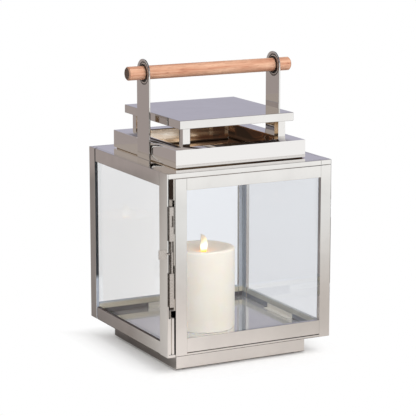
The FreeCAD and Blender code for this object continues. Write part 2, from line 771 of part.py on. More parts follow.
def make_handle():
    """Two upright straps on the collar, a wooden dowel through their round tops, and their studs and nuts."""
    studs = []
    nuts = []
    for label, side in (("left", -1), ("right", 1)):
        wall = flipped("strap_inner", "strap_outer", side)
        flat = box("strap_flat", wall, ("handle_y - strap_width / 2", "handle_y + strap_width / 2"),
                   ("case_top", "dowel_z"))
        centre = (wall[0], "handle_y", "dowel_z")
        eye = rod("strap_eye", "strap_width / 2", "strap_gauge", centre, "x")
        bore = rod("strap_bore", "dowel_radius + running_fit", "strap_gauge", centre, "x")
        node(f"handle_strap_{label}", cut(f"handle_strap_{label}", fuse("strap_blank", [flat, eye]), [bore]))
        stud_run = flipped("half_collar - sheet_gauge - nut_height", "strap_inner", side)
        shoulder_run = flipped("half_collar", "strap_inner", side)
        nut_run = flipped("half_collar - sheet_gauge - nut_height", "half_collar - sheet_gauge", side)
        for offset in (-1, 1):
            across = f"handle_y + {offset} * stud_spacing / 2"
            studs.append(fuse("strap_stud", [
                rod("stud_shank", "stud_radius", "strap_stand_off + sheet_gauge + nut_height",
                    (stud_run[0], across, "stud_z"), "x"),
                rod("stud_shoulder", "stud_shoulder_radius", "strap_stand_off",
                    (shoulder_run[0], across, "stud_z"), "x"),
            ]))
            nuts.append(hex_nut((nut_run[0], across, "stud_z")))
    node("strap_studs", group("strap_studs", studs))
    node("strap_nuts", group("strap_nuts", nuts))
    half = "dowel_length / 2"
    shoulder = "dowel_radius - dowel_round"
    dowel = turned("handle_dowel", [
        ("0", f"-{half}"), (shoulder, f"-{half}"), ("dowel_radius", f"dowel_round - {half}"),
        ("dowel_radius", f"{half} - dowel_round"), (shoulder, half), ("0", half),
    ])
    dowel.Placement = FreeCAD.Placement(FreeCAD.Vector(), TURN["x"])
    place(dowel, "0", "handle_y", "dowel_z")
    node("handle_dowel", dowel)


def hex_nut(start):
    """A hexagon nut along +X from a start point."""
    nut = doc.addObject("Part::Prism", "nut_blank")
    nut.Polygon = 6
    nut.setExpression("Circumradius", bound("nut_width / 2 / cos(30)"))
    nut.setExpression("Height", bound("nut_height"))
    nut.Placement = FreeCAD.Placement(FreeCAD.Vector(), TURN["x"])
    place(nut, *start)
    return cut("nut", nut, [rod("nut_bore", "stud_radius", "nut_height", start, "x")])


# ---------------------------------------------------------------- pillar candle

def on_candle(part, z="0"):
    """Move a turned part onto the candle's axis."""
    place(part, "-candle_left", "-candle_forward", z)
    return part


def make_candle_shell():
    """The wax shell with a dished top, and the plastic core that fills it."""
    wax = turned("candle_wax", [
        ("core_radius + core_fit", "floor_top"),
        ("candle_radius", "floor_top"),
        ("candle_radius", "candle_top - candle_rim / 2"),
        ("candle_radius - candle_rim / 2", "candle_top"),
        ("candle_radius - candle_rim", "candle_top - candle_rim / 4"),
        ("candle_radius * 0.72", "candle_top - dish_depth * 0.62"),
        ("candle_radius * 0.45", "candle_top - dish_depth * 0.91"),
        ("wax_neck_radius", "dish_floor"),
        ("wax_neck_radius", "core_top"),
        ("core_radius + core_fit", "core_top"),
    ])
    node("candle_wax", on_candle(wax))
    core = turned("candle_core_turned", [
        ("core_radius - core_wall", "core_bottom"),
        ("core_radius", "core_bottom"),
        ("core_radius", "core_top"),
        ("neck_radius", "core_top"),
        ("neck_radius", "neck_top"),
        ("neck_bore", "neck_top"),
        ("neck_bore", "core_top - core_wall"),
        ("core_bore_radius", "core_top - core_wall"),
        ("core_bore_radius", "core_bore_low"),
        ("0", "core_bore_low"),
        ("0", "battery_high"),
        ("core_radius - core_wall", "battery_high"),
    ])
    on_candle(core)
    hole = rod("wire_hole", "wire_radius", "2 * neck_radius",
               ("-candle_left", "-candle_forward - neck_radius", "pivot_z"), "y")
    node("candle_core", cut("candle_core", core, [hole]))


def make_candle_works():
    """Cells, base cover, switch, lamp, and the hanging flame on its wire."""
    cells = []
    contacts = []
    for step in range(3):
        angle = math.radians(90 + 120 * step)
        x = f"{math.cos(angle):.6f} * battery_circle - candle_left"
        y = f"{math.sin(angle):.6f} * battery_circle - candle_forward"
        cells.append(rod("cell", "battery_radius", "battery_length", (x, y, "battery_low")))
        contacts.append(rod("contact", "contact_radius", "contact_height", (x, y, "core_bottom")))
    node("candle_cells", group("candle_cells", cells))
    disc = rod("cover_disc", "core_radius", "cover_thickness", ("-candle_left", "-candle_forward", "floor_top"))
    half_slot = "(switch_length + switch_travel) / 2 + switch_clearance"
    half_slot_width = "switch_width / 2 + switch_clearance"
    slot = box("switch_slot", (f"-candle_left - ({half_slot})", f"-candle_left + {half_slot}"),
               (f"-candle_forward - ({half_slot_width})", f"-candle_forward + {half_slot_width}"),
               ("floor_top", "core_bottom"))
    node("candle_cover", fuse("candle_cover", [cut("cover_plate", disc, [slot])] + contacts))

    left = "-candle_left - (switch_length + switch_travel) / 2"
    knob = box("switch_knob", (left, f"{left} + switch_length"),
               ("-candle_forward - switch_width / 2", "-candle_forward + switch_width / 2"),
               ("floor_top + switch_clearance", "core_bottom + switch_clearance"))
    flange = box("switch_plate", (f"{left} - switch_flange", f"{left} + switch_length + switch_flange"),
                 ("-candle_forward - switch_width / 2 - switch_flange",
                  "-candle_forward + switch_width / 2 + switch_flange"),
                 ("core_bottom + switch_clearance", "core_bottom + switch_clearance + switch_flange_gauge"))
    node("candle_switch", fuse("candle_switch", [knob, flange]))

    lamp_y = "core_bore_radius - led_radius - wire_radius - candle_forward"
    stem = rod("lamp_stem", "led_radius", "led_height - led_radius", ("-candle_left", lamp_y, "core_bore_low"))
    dome = doc.addObject("Part::Sphere", "lamp_dome")
    dome.setExpression("Radius", bound("led_radius"))
    place(dome, "-candle_left", lamp_y, "core_bore_low + led_height - led_radius")
    node("candle_lamp", fuse("candle_lamp", [stem, dome]))

    node("flame_wire", rod("flame_wire", "wire_radius", "2 * neck_radius",
                           ("-candle_left", "-candle_forward - neck_radius", "pivot_z"), "y"))
    make_flame()
    node("flame_magnet", rod("flame_magnet", "magnet_radius", "magnet_length",
                             ("-candle_left", "-candle_forward + flame_gauge / 2",
                              "pivot_z - flame_tail + magnet_radius"), "y"))


def make_flame():
    """The flame plate: a leaf-shaped blade above the pivot hole and a straight tail below it."""
    half = value("flame_width") / 2
    tail_half = value("flame_tail_width") / 2
    tail = value("flame_tail")
    height = value("flame_height")
    gauge = value("flame_gauge")
    lean = value("flame_lean")
    neck = value("neck_top") - value("pivot_z")
    foot_left = FreeCAD.Vector(-tail_half, 0, -tail)
    foot_right = FreeCAD.Vector(tail_half, 0, -tail)
    neck_left = FreeCAD.Vector(-tail_half, 0, neck)
    neck_right = FreeCAD.Vector(tail_half, 0, neck)
    tip = FreeCAD.Vector(-lean, 0, height)

    def edge(spread, share):
        """A point on the blade's edge, at shares of its half width and of its height."""
        return FreeCAD.Vector(half * spread, 0, height * share)

    left = Part.BSplineCurve()
    left.interpolate([neck_left, edge(-1, 0.42), edge(-0.9, 0.74), tip])
    right = Part.BSplineCurve()
    right.interpolate([tip, edge(0.35, 0.88), edge(1, 0.55), neck_right])
    outline = Part.Wire([
        Part.LineSegment(foot_right, foot_left).toShape(),
        Part.LineSegment(foot_left, neck_left).toShape(),
        left.toShape(),
        right.toShape(),
        Part.LineSegment(neck_right, foot_right).toShape(),
    ])
    blade = Part.Face(outline).extrude(FreeCAD.Vector(0, gauge, 0))
    hole = Part.makeCylinder(value("flame_hole_radius"), gauge, FreeCAD.Vector(), FreeCAD.Vector(0, 1, 0))
    flame = doc.addObject("Part::Feature", "candle_flame")
    flame.Shape = blade.cut(hole)
    place(flame, "-candle_left", "-candle_forward - flame_gauge / 2", "pivot_z")
    node("candle_flame", flame)


make_feet()
make_plinth()
make_floor()
make_channel()
make_side_panels()
make_back_panel()
make_head()
make_fixed_glass()
make_hinges()
make_door()
make_latch()
make_collar()
make_roof()
make_handle()
make_candle_shell()
make_candle_works()
doc.recompute()

# ---------------------------------------------------------------- check and write

faults = [part.Name for part in doc.Objects if {"Invalid", "Error"} & set(part.State)]
for name, part in nodes.items():
    shape = part.Shape
    if shape.isNull() or not shape.isValid() or not shape.Solids:
        faults.append(name)
if faults:
    raise RuntimeError("failed: " + ", ".join(faults))

os.makedirs("parts", exist_ok=True)
for name, part in nodes.items():
    part.Shape.exportStep(f"parts/{name}.step")
print(len(nodes), "nodes,", sum(len(part.Shape.Solids) for part in nodes.values()), "solids")
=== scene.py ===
"""Looks of the candle lantern: eased edges, finishes, candle, studio and camera.

Metres, in the frame of the solids: +Z up, the door faces -Y. Small sizes are given in millimetres.
"""

import json
import math

import bmesh
import bpy
from mathutils import Matrix, Vector


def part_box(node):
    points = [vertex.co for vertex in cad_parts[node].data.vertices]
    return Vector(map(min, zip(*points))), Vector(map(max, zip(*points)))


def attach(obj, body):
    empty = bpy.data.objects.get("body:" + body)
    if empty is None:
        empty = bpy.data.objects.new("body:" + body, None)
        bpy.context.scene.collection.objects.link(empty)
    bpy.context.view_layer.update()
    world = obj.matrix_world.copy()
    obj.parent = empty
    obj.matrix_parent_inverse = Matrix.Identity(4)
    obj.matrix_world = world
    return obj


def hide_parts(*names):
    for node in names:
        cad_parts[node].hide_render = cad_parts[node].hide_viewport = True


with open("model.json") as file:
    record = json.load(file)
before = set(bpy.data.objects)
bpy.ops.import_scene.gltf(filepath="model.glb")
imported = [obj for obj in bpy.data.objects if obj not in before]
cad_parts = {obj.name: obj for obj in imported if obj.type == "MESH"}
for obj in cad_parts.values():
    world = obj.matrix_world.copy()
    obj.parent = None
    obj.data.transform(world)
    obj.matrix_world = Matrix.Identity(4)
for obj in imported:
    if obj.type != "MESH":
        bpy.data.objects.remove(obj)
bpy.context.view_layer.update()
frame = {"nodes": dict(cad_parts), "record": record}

MM = 0.001
RECORD = frame["record"]
BODY_OF = {node: body for body, nodes in RECORD["behaviour"]["bodies"].items() for node in nodes}
SLOT_OF = {part["node"]: part["material_slot"] for part in RECORD["subparts"]}

DISH_DEPTH = 7.5 * MM
CORE_NECK = 13.0 * MM
WAX_LOW, WAX_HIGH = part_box("candle_wax")
FLAME_FOOT = Vector(((WAX_LOW.x + WAX_HIGH.x) / 2, (WAX_LOW.y + WAX_HIGH.y) / 2, WAX_HIGH.z - DISH_DEPTH))
DOWEL_LOW, DOWEL_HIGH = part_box("handle_dowel")
DOWEL_MIDDLE = (DOWEL_LOW + DOWEL_HIGH) / 2
DOWEL_RADIUS = (DOWEL_HIGH.z - DOWEL_LOW.z) / 2

# A Mix node with this setting mixes colours: input 0 is the share, 6 and 7 are the two colours.
COLOURS = {"data_type": "RGBA"}
TIMES = {"operation": "MULTIPLY"}
LARGER = {"operation": "MAXIMUM"}
ABSOLUTE = {"operation": "ABSOLUTE"}


# ---------------------------------------------------------------- helpers

def linear(code):
    """Linear RGBA of an sRGB hex colour."""
    channels = [int(code[i:i + 2], 16) / 255 for i in (0, 2, 4)]
    return tuple(c / 12.92 if c <= 0.04045 else ((c + 0.055) / 1.055) ** 2.4 for c in channels) + (1.0,)


def feed(node, inputs):
    """Feed a node's inputs with numbers, hex colours, sockets, or other nodes' first outputs in use."""
    for name, value in inputs.items():
        if isinstance(value, bpy.types.Node):
            value = next(socket for socket in value.outputs if socket.enabled)
        if isinstance(value, bpy.types.NodeSocket):
            node.id_data.links.new(value, node.inputs[name])
        else:
            node.inputs[name].default_value = linear(value) if isinstance(value, str) else value


def add(tree, kind, settings=None, inputs=None):
    """Add a node to a tree, set its properties and feed its inputs."""
    node = tree.nodes.new(kind)
    for name, value in (settings or {}).items():
        setattr(node, name, value)
    feed(node, inputs or {})
    return node


def new_finish(name):
    """An empty material, its node tree, its Principled shader and its object coordinates."""
    finish = bpy.data.materials.new(name)
    finish.use_nodes = True
    tree = finish.node_tree
    tree.nodes.clear()
    shader = add(tree, "ShaderNodeBsdfPrincipled")
    add(tree, "ShaderNodeOutputMaterial", None, {"Surface": shader})
    place = add(tree, "ShaderNodeTexCoord").outputs["Object"]
    return finish, tree, shader, place


def per_mm(size):
    """Texture scale whose features are about this many millimetres wide."""
    return 1 / (size * MM)


# ---------------------------------------------------------------- finishes

def mirror_steel():
    """Stainless sheet, nickel plated and buffed to a mirror.

    The eye gets a clear reflection that wavers a little over each panel, and a faint haze of
    polishing marks and handling that softens some patches.
    """
    finish, tree, shader, place = new_finish("mirror_buffed_nickel_steel")
    haze = add(tree, "ShaderNodeTexNoise", None,
               {"Vector": place, "Scale": per_mm(38), "Detail": 3.0, "Roughness": 0.55})
    patches = add(tree, "ShaderNodeMapRange", None, {"Value": haze, "From Min": 0.35, "From Max": 0.65})
    colour = add(tree, "ShaderNodeMix", COLOURS, {0: patches, 6: "E7E5E2", 7: "EDEBE8"})
    dulled = add(tree, "ShaderNodeMapRange", None,
                 {"Value": haze, "From Min": 0.35, "From Max": 0.7, "To Min": 0.03, "To Max": 0.09})
    wave = add(tree, "ShaderNodeTexNoise", None, {"Vector": place, "Scale": per_mm(90), "Detail": 0.0})
    roll = add(tree, "ShaderNodeBump", None, {"Height": wave, "Strength": 0.08, "Distance": 0.2 * MM})
    strokes = add(tree, "ShaderNodeMapping", None, {"Vector": place, "Scale": (1.0, 1.0, 14.0)})
    buff = add(tree, "ShaderNodeTexNoise", None, {"Vector": strokes, "Scale": per_mm(9), "Detail": 2.0})
    lines = add(tree, "ShaderNodeBump", None,
                {"Height": buff, "Strength": 0.03, "Distance": 0.02 * MM, "Normal": roll})
    feed(shader, {"Base Color": colour, "Metallic": 1.0, "Roughness": dulled, "Normal": lines})
    return finish


def mill_steel_with_painted_shade():
    """The same sheet as it left the mill, on faces that turn inward and were never buffed.

    The eye gets a dull blue grey, paler and straw coloured low down. Faces that look to the front or back
    and faces that look to the side get different tones: painted light and shade. The darker band along the
    tray and the darker upper part of the rear post's edge beside the left pane are painted shade. These
    tones are guesses: nothing in the lantern makes smoke.
    """
    finish, tree, shader, place = new_finish("unbuffed_steel_with_painted_shade")
    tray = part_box("floor_pan")[1].z
    beside_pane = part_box("glass_left")[0].x + 0.1 * MM
    part = add(tree, "ShaderNodeSeparateXYZ", None, {"Vector": place}).outputs
    facing = add(tree, "ShaderNodeTexCoord").outputs["Normal"]
    turned_to = add(tree, "ShaderNodeVectorMath", ABSOLUTE, {0: facing})
    to_back = add(tree, "ShaderNodeSeparateXYZ", None, {"Vector": turned_to}).outputs["Y"]
    back = add(tree, "ShaderNodeMath", {"operation": "GREATER_THAN"}, {0: to_back, 1: 0.7})
    # painted light and shade: one tone for faces that look front or back, another for side faces
    steel = add(tree, "ShaderNodeMix", COLOURS, {0: back, 6: "BEC8D6", 7: "E8EEF6"})
    low_colour = add(tree, "ShaderNodeMix", COLOURS, {0: back, 6: "F1F2E9", 7: "F6EED6"})
    # painted shade: the darker band along the tray
    band = add(tree, "ShaderNodeMix", COLOURS, {0: back, 6: "A3ABBC", 7: "505057"})
    low_wall = add(tree, "ShaderNodeMapRange", None,
                   {"Value": part["Z"], "From Min": tray + 13 * MM, "From Max": tray + 16 * MM,
                    "To Min": 1, "To Max": 0})
    low_tone = add(tree, "ShaderNodeMix", COLOURS, {0: low_wall, 6: steel, 7: low_colour})
    tray_shade_share = add(tree, "ShaderNodeMapRange", None,
                     {"Value": part["Z"], "From Min": tray + 6.4 * MM, "From Max": tray + 7.4 * MM,
                      "To Min": 1, "To Max": 0})
    walls = add(tree, "ShaderNodeMix", COLOURS, {0: tray_shade_share, 6: low_tone, 7: band})
    outside = add(tree, "ShaderNodeMath", {"operation": "LESS_THAN"}, {0: part["X"], 1: beside_pane})
    rebate = add(tree, "ShaderNodeMath", TIMES, {0: back, 1: outside})
    # painted shade: darker on the upper part of the rear post's edge beside the left pane
    upper = add(tree, "ShaderNodeMapRange", None,
                {"Value": part["Z"], "From Min": tray + 55 * MM, "From Max": tray + 62 * MM})
    shade = add(tree, "ShaderNodeMix", COLOURS, {0: upper, 6: "C3CBD8", 7: "3C4045"})
    colour = add(tree, "ShaderNodeMix", COLOURS, {0: rebate, 6: walls, 7: shade})
    clouds = add(tree, "ShaderNodeTexNoise", None, {"Vector": place, "Scale": per_mm(30), "Detail": 3.0})
    dulled = add(tree, "ShaderNodeMapRange", None, {"Value": clouds, "To Min": 0.35, "To Max": 0.5})
    bump = add(tree, "ShaderNodeBump", None, {"Height": clouds, "Strength": 0.1, "Distance": 0.1 * MM})
    feed(shader, {"Base Color": colour, "Metallic": 0.1, "Roughness": dulled, "Normal": bump})
    return finish


def tray_steel():
    """The buffed tray the candle stands on: a mirror veiled by fine wiping marks and a little dust.

    The eye gets the reflection with a pale haze over it, in soft streaks.
    """
    finish, tree, shader, place = new_finish("wiped_buffed_steel_tray")
    run = add(tree, "ShaderNodeMapping", None, {"Vector": place, "Scale": (1.0, 0.25, 1.0)})
    streak = add(tree, "ShaderNodeTexNoise", None, {"Vector": run, "Scale": per_mm(24), "Detail": 3.0})
    colour = add(tree, "ShaderNodeMix", COLOURS, {0: streak, 6: "EDECEA", 7: "F8F7F5"})
    clear = add(tree, "ShaderNodeMapRange", None,
                {"Value": streak, "From Min": 0.35, "From Max": 0.65, "To Min": 0.84, "To Max": 0.7})
    dulled = add(tree, "ShaderNodeMapRange", None,
                 {"Value": streak, "From Min": 0.3, "From Max": 0.7, "To Min": 0.04, "To Max": 0.14})
    feed(shader, {"Base Color": colour, "Metallic": clear, "Roughness": dulled})
    return finish


def steel_with_painted_inside():
    """The buffed sheet again, on the collar and the top plate, with a tinted inside.

    Outside the eye gets the plain mirror. Inside it is painted straw on the left and brown on the right,
    in streaks along the lantern's width, and a little softer: painted light and shade for what the inside
    reflects. A weak brown painted glow stands in for light bounced between its walls. These are guesses:
    the battery candle makes no heat.
    """
    finish, tree, shader, place = new_finish("buffed_steel_with_painted_inner_shade")
    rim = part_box("collar_sides")[1]
    spread = add(tree, "ShaderNodeVectorMath", ABSOLUTE, {0: place})
    sides = add(tree, "ShaderNodeSeparateXYZ", None, {"Vector": spread}).outputs
    reach = add(tree, "ShaderNodeMath", LARGER, {0: sides["X"], 1: sides["Y"]})
    within = add(tree, "ShaderNodeMath", {"operation": "LESS_THAN"}, {0: reach, 1: rim.x - 0.5 * MM})
    below = add(tree, "ShaderNodeMath", {"operation": "LESS_THAN"}, {0: sides["Z"], 1: rim.z - 0.5 * MM})
    inside = add(tree, "ShaderNodeMath", TIMES, {0: within, 1: below})
    run = add(tree, "ShaderNodeMapping", None, {"Vector": place, "Scale": (0.12, 1.0, 1.0)})
    streak = add(tree, "ShaderNodeTexNoise", None, {"Vector": run, "Scale": per_mm(7), "Detail": 3.0})
    drift = add(tree, "ShaderNodeMapRange", None,
                {"Value": streak, "From Min": 0.3, "From Max": 0.7, "To Min": -45 * MM, "To Max": 45 * MM})
    part = add(tree, "ShaderNodeSeparateXYZ", None, {"Vector": place}).outputs
    shift = add(tree, "ShaderNodeMath", {"operation": "ADD"}, {0: part["X"], 1: drift})
    # painted light and shade: paler straw on the left, darker brown towards the right
    warm = add(tree, "ShaderNodeMapRange", None,
               {"Value": shift, "From Min": -60 * MM, "From Max": 20 * MM})
    straw = add(tree, "ShaderNodeMix", COLOURS, {0: warm, 6: "FFFDF4", 7: "E2C6A6"})
    hot = add(tree, "ShaderNodeMapRange", None,
              {"Value": shift, "From Min": 20 * MM, "From Max": 80 * MM})
    brown = add(tree, "ShaderNodeMix", COLOURS, {0: hot, 6: straw, 7: "A87C55"})
    colour = add(tree, "ShaderNodeMix", COLOURS, {0: inside, 6: "EFEDEB", 7: brown})
    dulled = add(tree, "ShaderNodeMapRange", None, {"Value": inside, "To Min": 0.05, "To Max": 0.12})
    # painted glow inside the collar, darker to the right, for light bounced between the walls
    darker = add(tree, "ShaderNodeMapRange", None,
                 {"Value": shift, "From Min": -30 * MM, "From Max": 60 * MM})
    glow = add(tree, "ShaderNodeMix", COLOURS, {0: darker, 6: "9C8468", 7: "4A382C"})
    strength = add(tree, "ShaderNodeMapRange", None, {"Value": inside, "To Max": 0.35})
    feed(shader, {"Base Color": colour, "Metallic": 1.0, "Roughness": dulled,
                  "Emission Color": glow, "Emission Strength": strength})
    return finish


def strap_steel():
    """The buffed strip of the handle: a plain mirror, with dark and pale rings round each bore.

    The rings are painted: a black ring of painted shade in the bore's rounded edge, a pale ring of painted
    highlight, and a dark painted reflection of the dowel, set a little towards the front. They are a guess.
    """
    finish, tree, shader, place = new_finish("buffed_steel_strap_with_painted_rings")
    ring_wobble = add(tree, "ShaderNodeTexNoise", None, {"Vector": place, "Scale": per_mm(6), "Detail": 3.0})
    ragged = add(tree, "ShaderNodeMapRange", None,
                 {"Value": ring_wobble, "From Min": 0.3, "From Max": 0.7, "To Min": -0.4 * MM, "To Max": 0.4 * MM})

    def ring(centre, inner, outer, start=1.0, end=0.0):
        """A level that changes from start to end between two distances, in millimetres, from the bore."""
        offset = add(tree, "ShaderNodeVectorMath", {"operation": "SUBTRACT"}, {0: place, 1: centre})
        flat = add(tree, "ShaderNodeVectorMath", TIMES, {0: offset, 1: Vector((0, 1, 1))})
        length = add(tree, "ShaderNodeVectorMath", {"operation": "LENGTH"}, {0: flat})
        away = add(tree, "ShaderNodeMath", {"operation": "ADD"}, {0: length, 1: ragged})
        first = DOWEL_RADIUS + inner * MM
        last = DOWEL_RADIUS + outer * MM
        return add(tree, "ShaderNodeMapRange", None,
                   {"Value": away, "From Min": first, "From Max": last, "To Min": start, "To Max": end})

    # painted reflection: the dowel's dark side mirrored in the strap, centred a little to the front
    front_shifted_centre = DOWEL_MIDDLE - Vector((0, 3 * MM, 0))
    dark_reflection_share = ring(front_shifted_centre, 5.8, 7.0, 0.96)
    # painted highlight: a pale, duller ring
    pale_ring_share = add(tree, "ShaderNodeMath", TIMES,
                 {0: ring(front_shifted_centre, 4.4, 5.0), 1: ring(front_shifted_centre, 2.8, 3.3, 0.0, 1.0)})
    # painted reflection: dark where the dowel is mirrored, plain mirror tone beyond
    oiled = add(tree, "ShaderNodeMix", COLOURS, {0: dark_reflection_share, 6: "E9E7E4", 7: "2A211B"})
    ringed_colour = add(tree, "ShaderNodeMix", COLOURS, {0: pale_ring_share, 6: oiled, 7: "C4BDB6"})
    # painted shade: a black ring in the bore's rounded edge
    colour = add(tree, "ShaderNodeMix", COLOURS, {0: ring(DOWEL_MIDDLE, 2.4, 3.0), 6: ringed_colour, 7: "17120F"})
    metal = add(tree, "ShaderNodeMapRange", None, {"Value": pale_ring_share, "To Min": 1.0, "To Max": 0.4})
    dulled = add(tree, "ShaderNodeMapRange", None, {"Value": pale_ring_share, "To Min": 0.05, "To Max": 0.3})
    feed(shader, {"Base Color": colour, "Metallic": metal, "Roughness": dulled})
    return finish


def painted_shade_steel():
    """Dark brown steel with a low satin gloss: painted shade for undersides. The brown is a guess."""
    finish, tree, shader, place = new_finish("dark_steel_painted_shade")
    clouds = add(tree, "ShaderNodeTexNoise", None, {"Vector": place, "Scale": per_mm(26), "Detail": 4.0})
    colour = add(tree, "ShaderNodeMix", COLOURS, {0: clouds, 6: "2E2018", 7: "4A382B"})
    dulled = add(tree, "ShaderNodeMapRange", None, {"Value": clouds, "To Min": 0.3, "To Max": 0.5})
    feed(shader, {"Base Color": colour, "Metallic": 0.6, "Roughness": dulled})
    return finish


def satin_steel():
    """Machined steel for hinges, latch and fixings: a soft grey sheen with a fine turned grain."""
    finish, tree, shader, place = new_finish("satin_machined_steel")
    grain = add(tree, "ShaderNodeTexNoise", None, {"Vector": place, "Scale": per_mm(1.2), "Detail": 3.0})
    colour = add(tree, "ShaderNodeMix", COLOURS, {0: grain, 6: "B9B2AC", 7: "D6D0CA"})
    dulled = add(tree, "ShaderNodeMapRange", None, {"Value": grain, "To Min": 0.18, "To Max": 0.36})
    bump = add(tree, "ShaderNodeBump", None, {"Height": grain, "Strength": 0.15, "Distance": 0.02 * MM})
    feed(shader, {"Base Color": colour, "Metallic": 1.0, "Roughness": dulled, "Normal": bump})
    return finish


def bright_strip():
    """Cold rolled bright strip, bent into clips: pale, with faint level streaks."""
    finish, tree, shader, place = new_finish("cold_rolled_bright_strip")
    roll = add(tree, "ShaderNodeMapping", None, {"Vector": place, "Scale": (1.0, 1.0, 20.0)})
    streak = add(tree, "ShaderNodeTexNoise", None, {"Vector": roll, "Scale": per_mm(12), "Detail": 2.0})
    colour = add(tree, "ShaderNodeMix", COLOURS, {0: streak, 6: "F0EDE3", 7: "F8F5EE"})
    dulled = add(tree, "ShaderNodeMapRange", None, {"Value": streak, "To Min": 0.42, "To Max": 0.55})
    feed(shader, {"Base Color": colour, "Metallic": 0.15, "Roughness": dulled})
    return finish


def float_glass(name, tint):
    """Clear float glass, 3 mm: almost colourless, with the faint roll of its surface in reflections.

    Lamps shine through it, so what stands behind it is lit. The left pane is tinted paler and the door
    pane greyer than the others: painted light and painted shade.
    """
    finish, tree, shader, place = new_finish(name)
    roll = add(tree, "ShaderNodeTexNoise", None, {"Vector": place, "Scale": per_mm(90), "Detail": 0.0})
    bump = add(tree, "ShaderNodeBump", None, {"Height": roll, "Strength": 0.05, "Distance": 0.1 * MM})
    feed(shader, {"Base Color": tint, "Roughness": 0.0, "IOR": 1.52, "Transmission Weight": 1.0,
                  "Normal": bump})
    through = add(tree, "ShaderNodeBsdfTransparent", None, {"Color": "FAFAFA"})
    ray = add(tree, "ShaderNodeLightPath").outputs
    lighting = add(tree, "ShaderNodeMath", LARGER, {0: ray["Is Shadow Ray"], 1: ray["Is Diffuse Ray"]})
    pane = add(tree, "ShaderNodeMixShader", None, {0: lighting, 1: shader, 2: through})
    feed(tree.nodes["Material Output"], {"Surface": pane})
    return finish


def oiled_wood():
    """Turned acacia, oiled: light reddish tan with soft darker streaks along the dowel and fine pores.

    The end grain is dark brown, partly from the oil it drinks and partly as painted shade, with the rings
    faintly showing.
    """
    finish, tree, shader, place = new_finish("oiled_acacia")
    long_grain = add(tree, "ShaderNodeMapping", None, {"Vector": place, "Scale": (0.07, 1.0, 1.0)})
    figure = add(tree, "ShaderNodeTexNoise", None,
                 {"Vector": long_grain, "Scale": per_mm(5), "Detail": 4.0, "Roughness": 0.55,
                  "Distortion": 0.5})
    pores = add(tree, "ShaderNodeTexNoise", None, {"Vector": long_grain, "Scale": per_mm(0.9), "Detail": 2.0})
    streaks = add(tree, "ShaderNodeMapRange", None, {"Value": figure, "From Min": 0.34, "From Max": 0.66})
    body = add(tree, "ShaderNodeMix", COLOURS, {0: streaks, 6: "B57A5D", 7: "D6AA8D"})
    open_pores = add(tree, "ShaderNodeMapRange", None,
                     {"Value": pores, "From Min": 0.30, "From Max": 0.42, "To Min": 0.5, "To Max": 0})
    pored = add(tree, "ShaderNodeMix", COLOURS, {0: open_pores, 6: body, 7: "7C442E"})
    rings = add(tree, "ShaderNodeTexWave", {"wave_type": "RINGS", "rings_direction": "X"},
                {"Vector": place, "Scale": per_mm(9), "Distortion": 2.0}).outputs["Fac"]
    # partly painted shade: end grain darker than the oil alone makes it
    end_grain = add(tree, "ShaderNodeMix", COLOURS, {0: rings, 6: "4A382D", 7: "634C3C"})
    facing = add(tree, "ShaderNodeTexCoord").outputs["Normal"]
    turned_to = add(tree, "ShaderNodeVectorMath", ABSOLUTE, {0: facing})
    along = add(tree, "ShaderNodeSeparateXYZ", None, {"Vector": turned_to}).outputs["X"]
    end = add(tree, "ShaderNodeMapRange", None, {"Value": along, "From Min": 0.6, "From Max": 0.9})
    colour = add(tree, "ShaderNodeMix", COLOURS, {0: end, 6: pored, 7: end_grain})
    dulled = add(tree, "ShaderNodeMapRange", None, {"Value": figure, "To Min": 0.42, "To Max": 0.58})
    bump = add(tree, "ShaderNodeBump", None, {"Height": pores, "Strength": 0.2, "Distance": 0.1 * MM})
    feed(shader, {"Base Color": colour, "Roughness": dulled, "Normal": bump})
    return finish


def ivory_wax():
    """Poured paraffin wax: matt and milky, so light sinks in, with a faint mottle and soft dents.

    Round the flame's foot the wax has a painted orange glow for the lamp inside it; all the wax has a faint
    painted glow, and faces that look up, in the dish, a little more: painted light.
    """
    finish, tree, shader, place = new_finish("poured_ivory_wax")
    mottle = add(tree, "ShaderNodeTexNoise", None, {"Vector": place, "Scale": per_mm(22), "Detail": 4.0})
    colour = add(tree, "ShaderNodeMix", COLOURS, {0: mottle, 6: "F1E8D8", 7: "F8F2E6"})
    # painted glow round the flame's foot
    foot = add(tree, "ShaderNodeVectorMath", {"operation": "DISTANCE"}, {0: place, 1: FLAME_FOOT})
    near = add(tree, "ShaderNodeMapRange", None,
               {"Value": foot, "From Min": 5 * MM, "From Max": 44 * MM, "To Min": 1, "To Max": 0})
    closest = add(tree, "ShaderNodeMath", {"operation": "POWER"}, {0: near, 1: 2.0})
    glow = add(tree, "ShaderNodeMix", COLOURS, {0: closest, 6: "F6EBD8", 7: "FFA45C"})
    from_lamp = add(tree, "ShaderNodeMapRange", None, {"Value": near, "To Min": 0.09, "To Max": 0.42})
    # painted light: more glow on faces that look up
    facing = add(tree, "ShaderNodeNewGeometry").outputs["Normal"]
    upward = add(tree, "ShaderNodeSeparateXYZ", None, {"Vector": facing}).outputs["Z"]
    dish = add(tree, "ShaderNodeMapRange", None,
               {"Value": upward, "From Min": 0.3, "From Max": 0.8, "To Min": 0.09, "To Max": 0.22})
    strength = add(tree, "ShaderNodeMath", LARGER, {0: from_lamp, 1: dish})
    bump = add(tree, "ShaderNodeBump", None, {"Height": mottle, "Strength": 0.12, "Distance": 0.3 * MM})
    feed(shader, {"Base Color": colour, "Roughness": 0.48, "IOR": 1.44, "Subsurface Weight": 0.5,
                  "Subsurface Radius": (1.0, 0.72, 0.46), "Subsurface Scale": 6 * MM,
                  "Emission Color": glow, "Emission Strength": strength, "Normal": bump})
    return finish


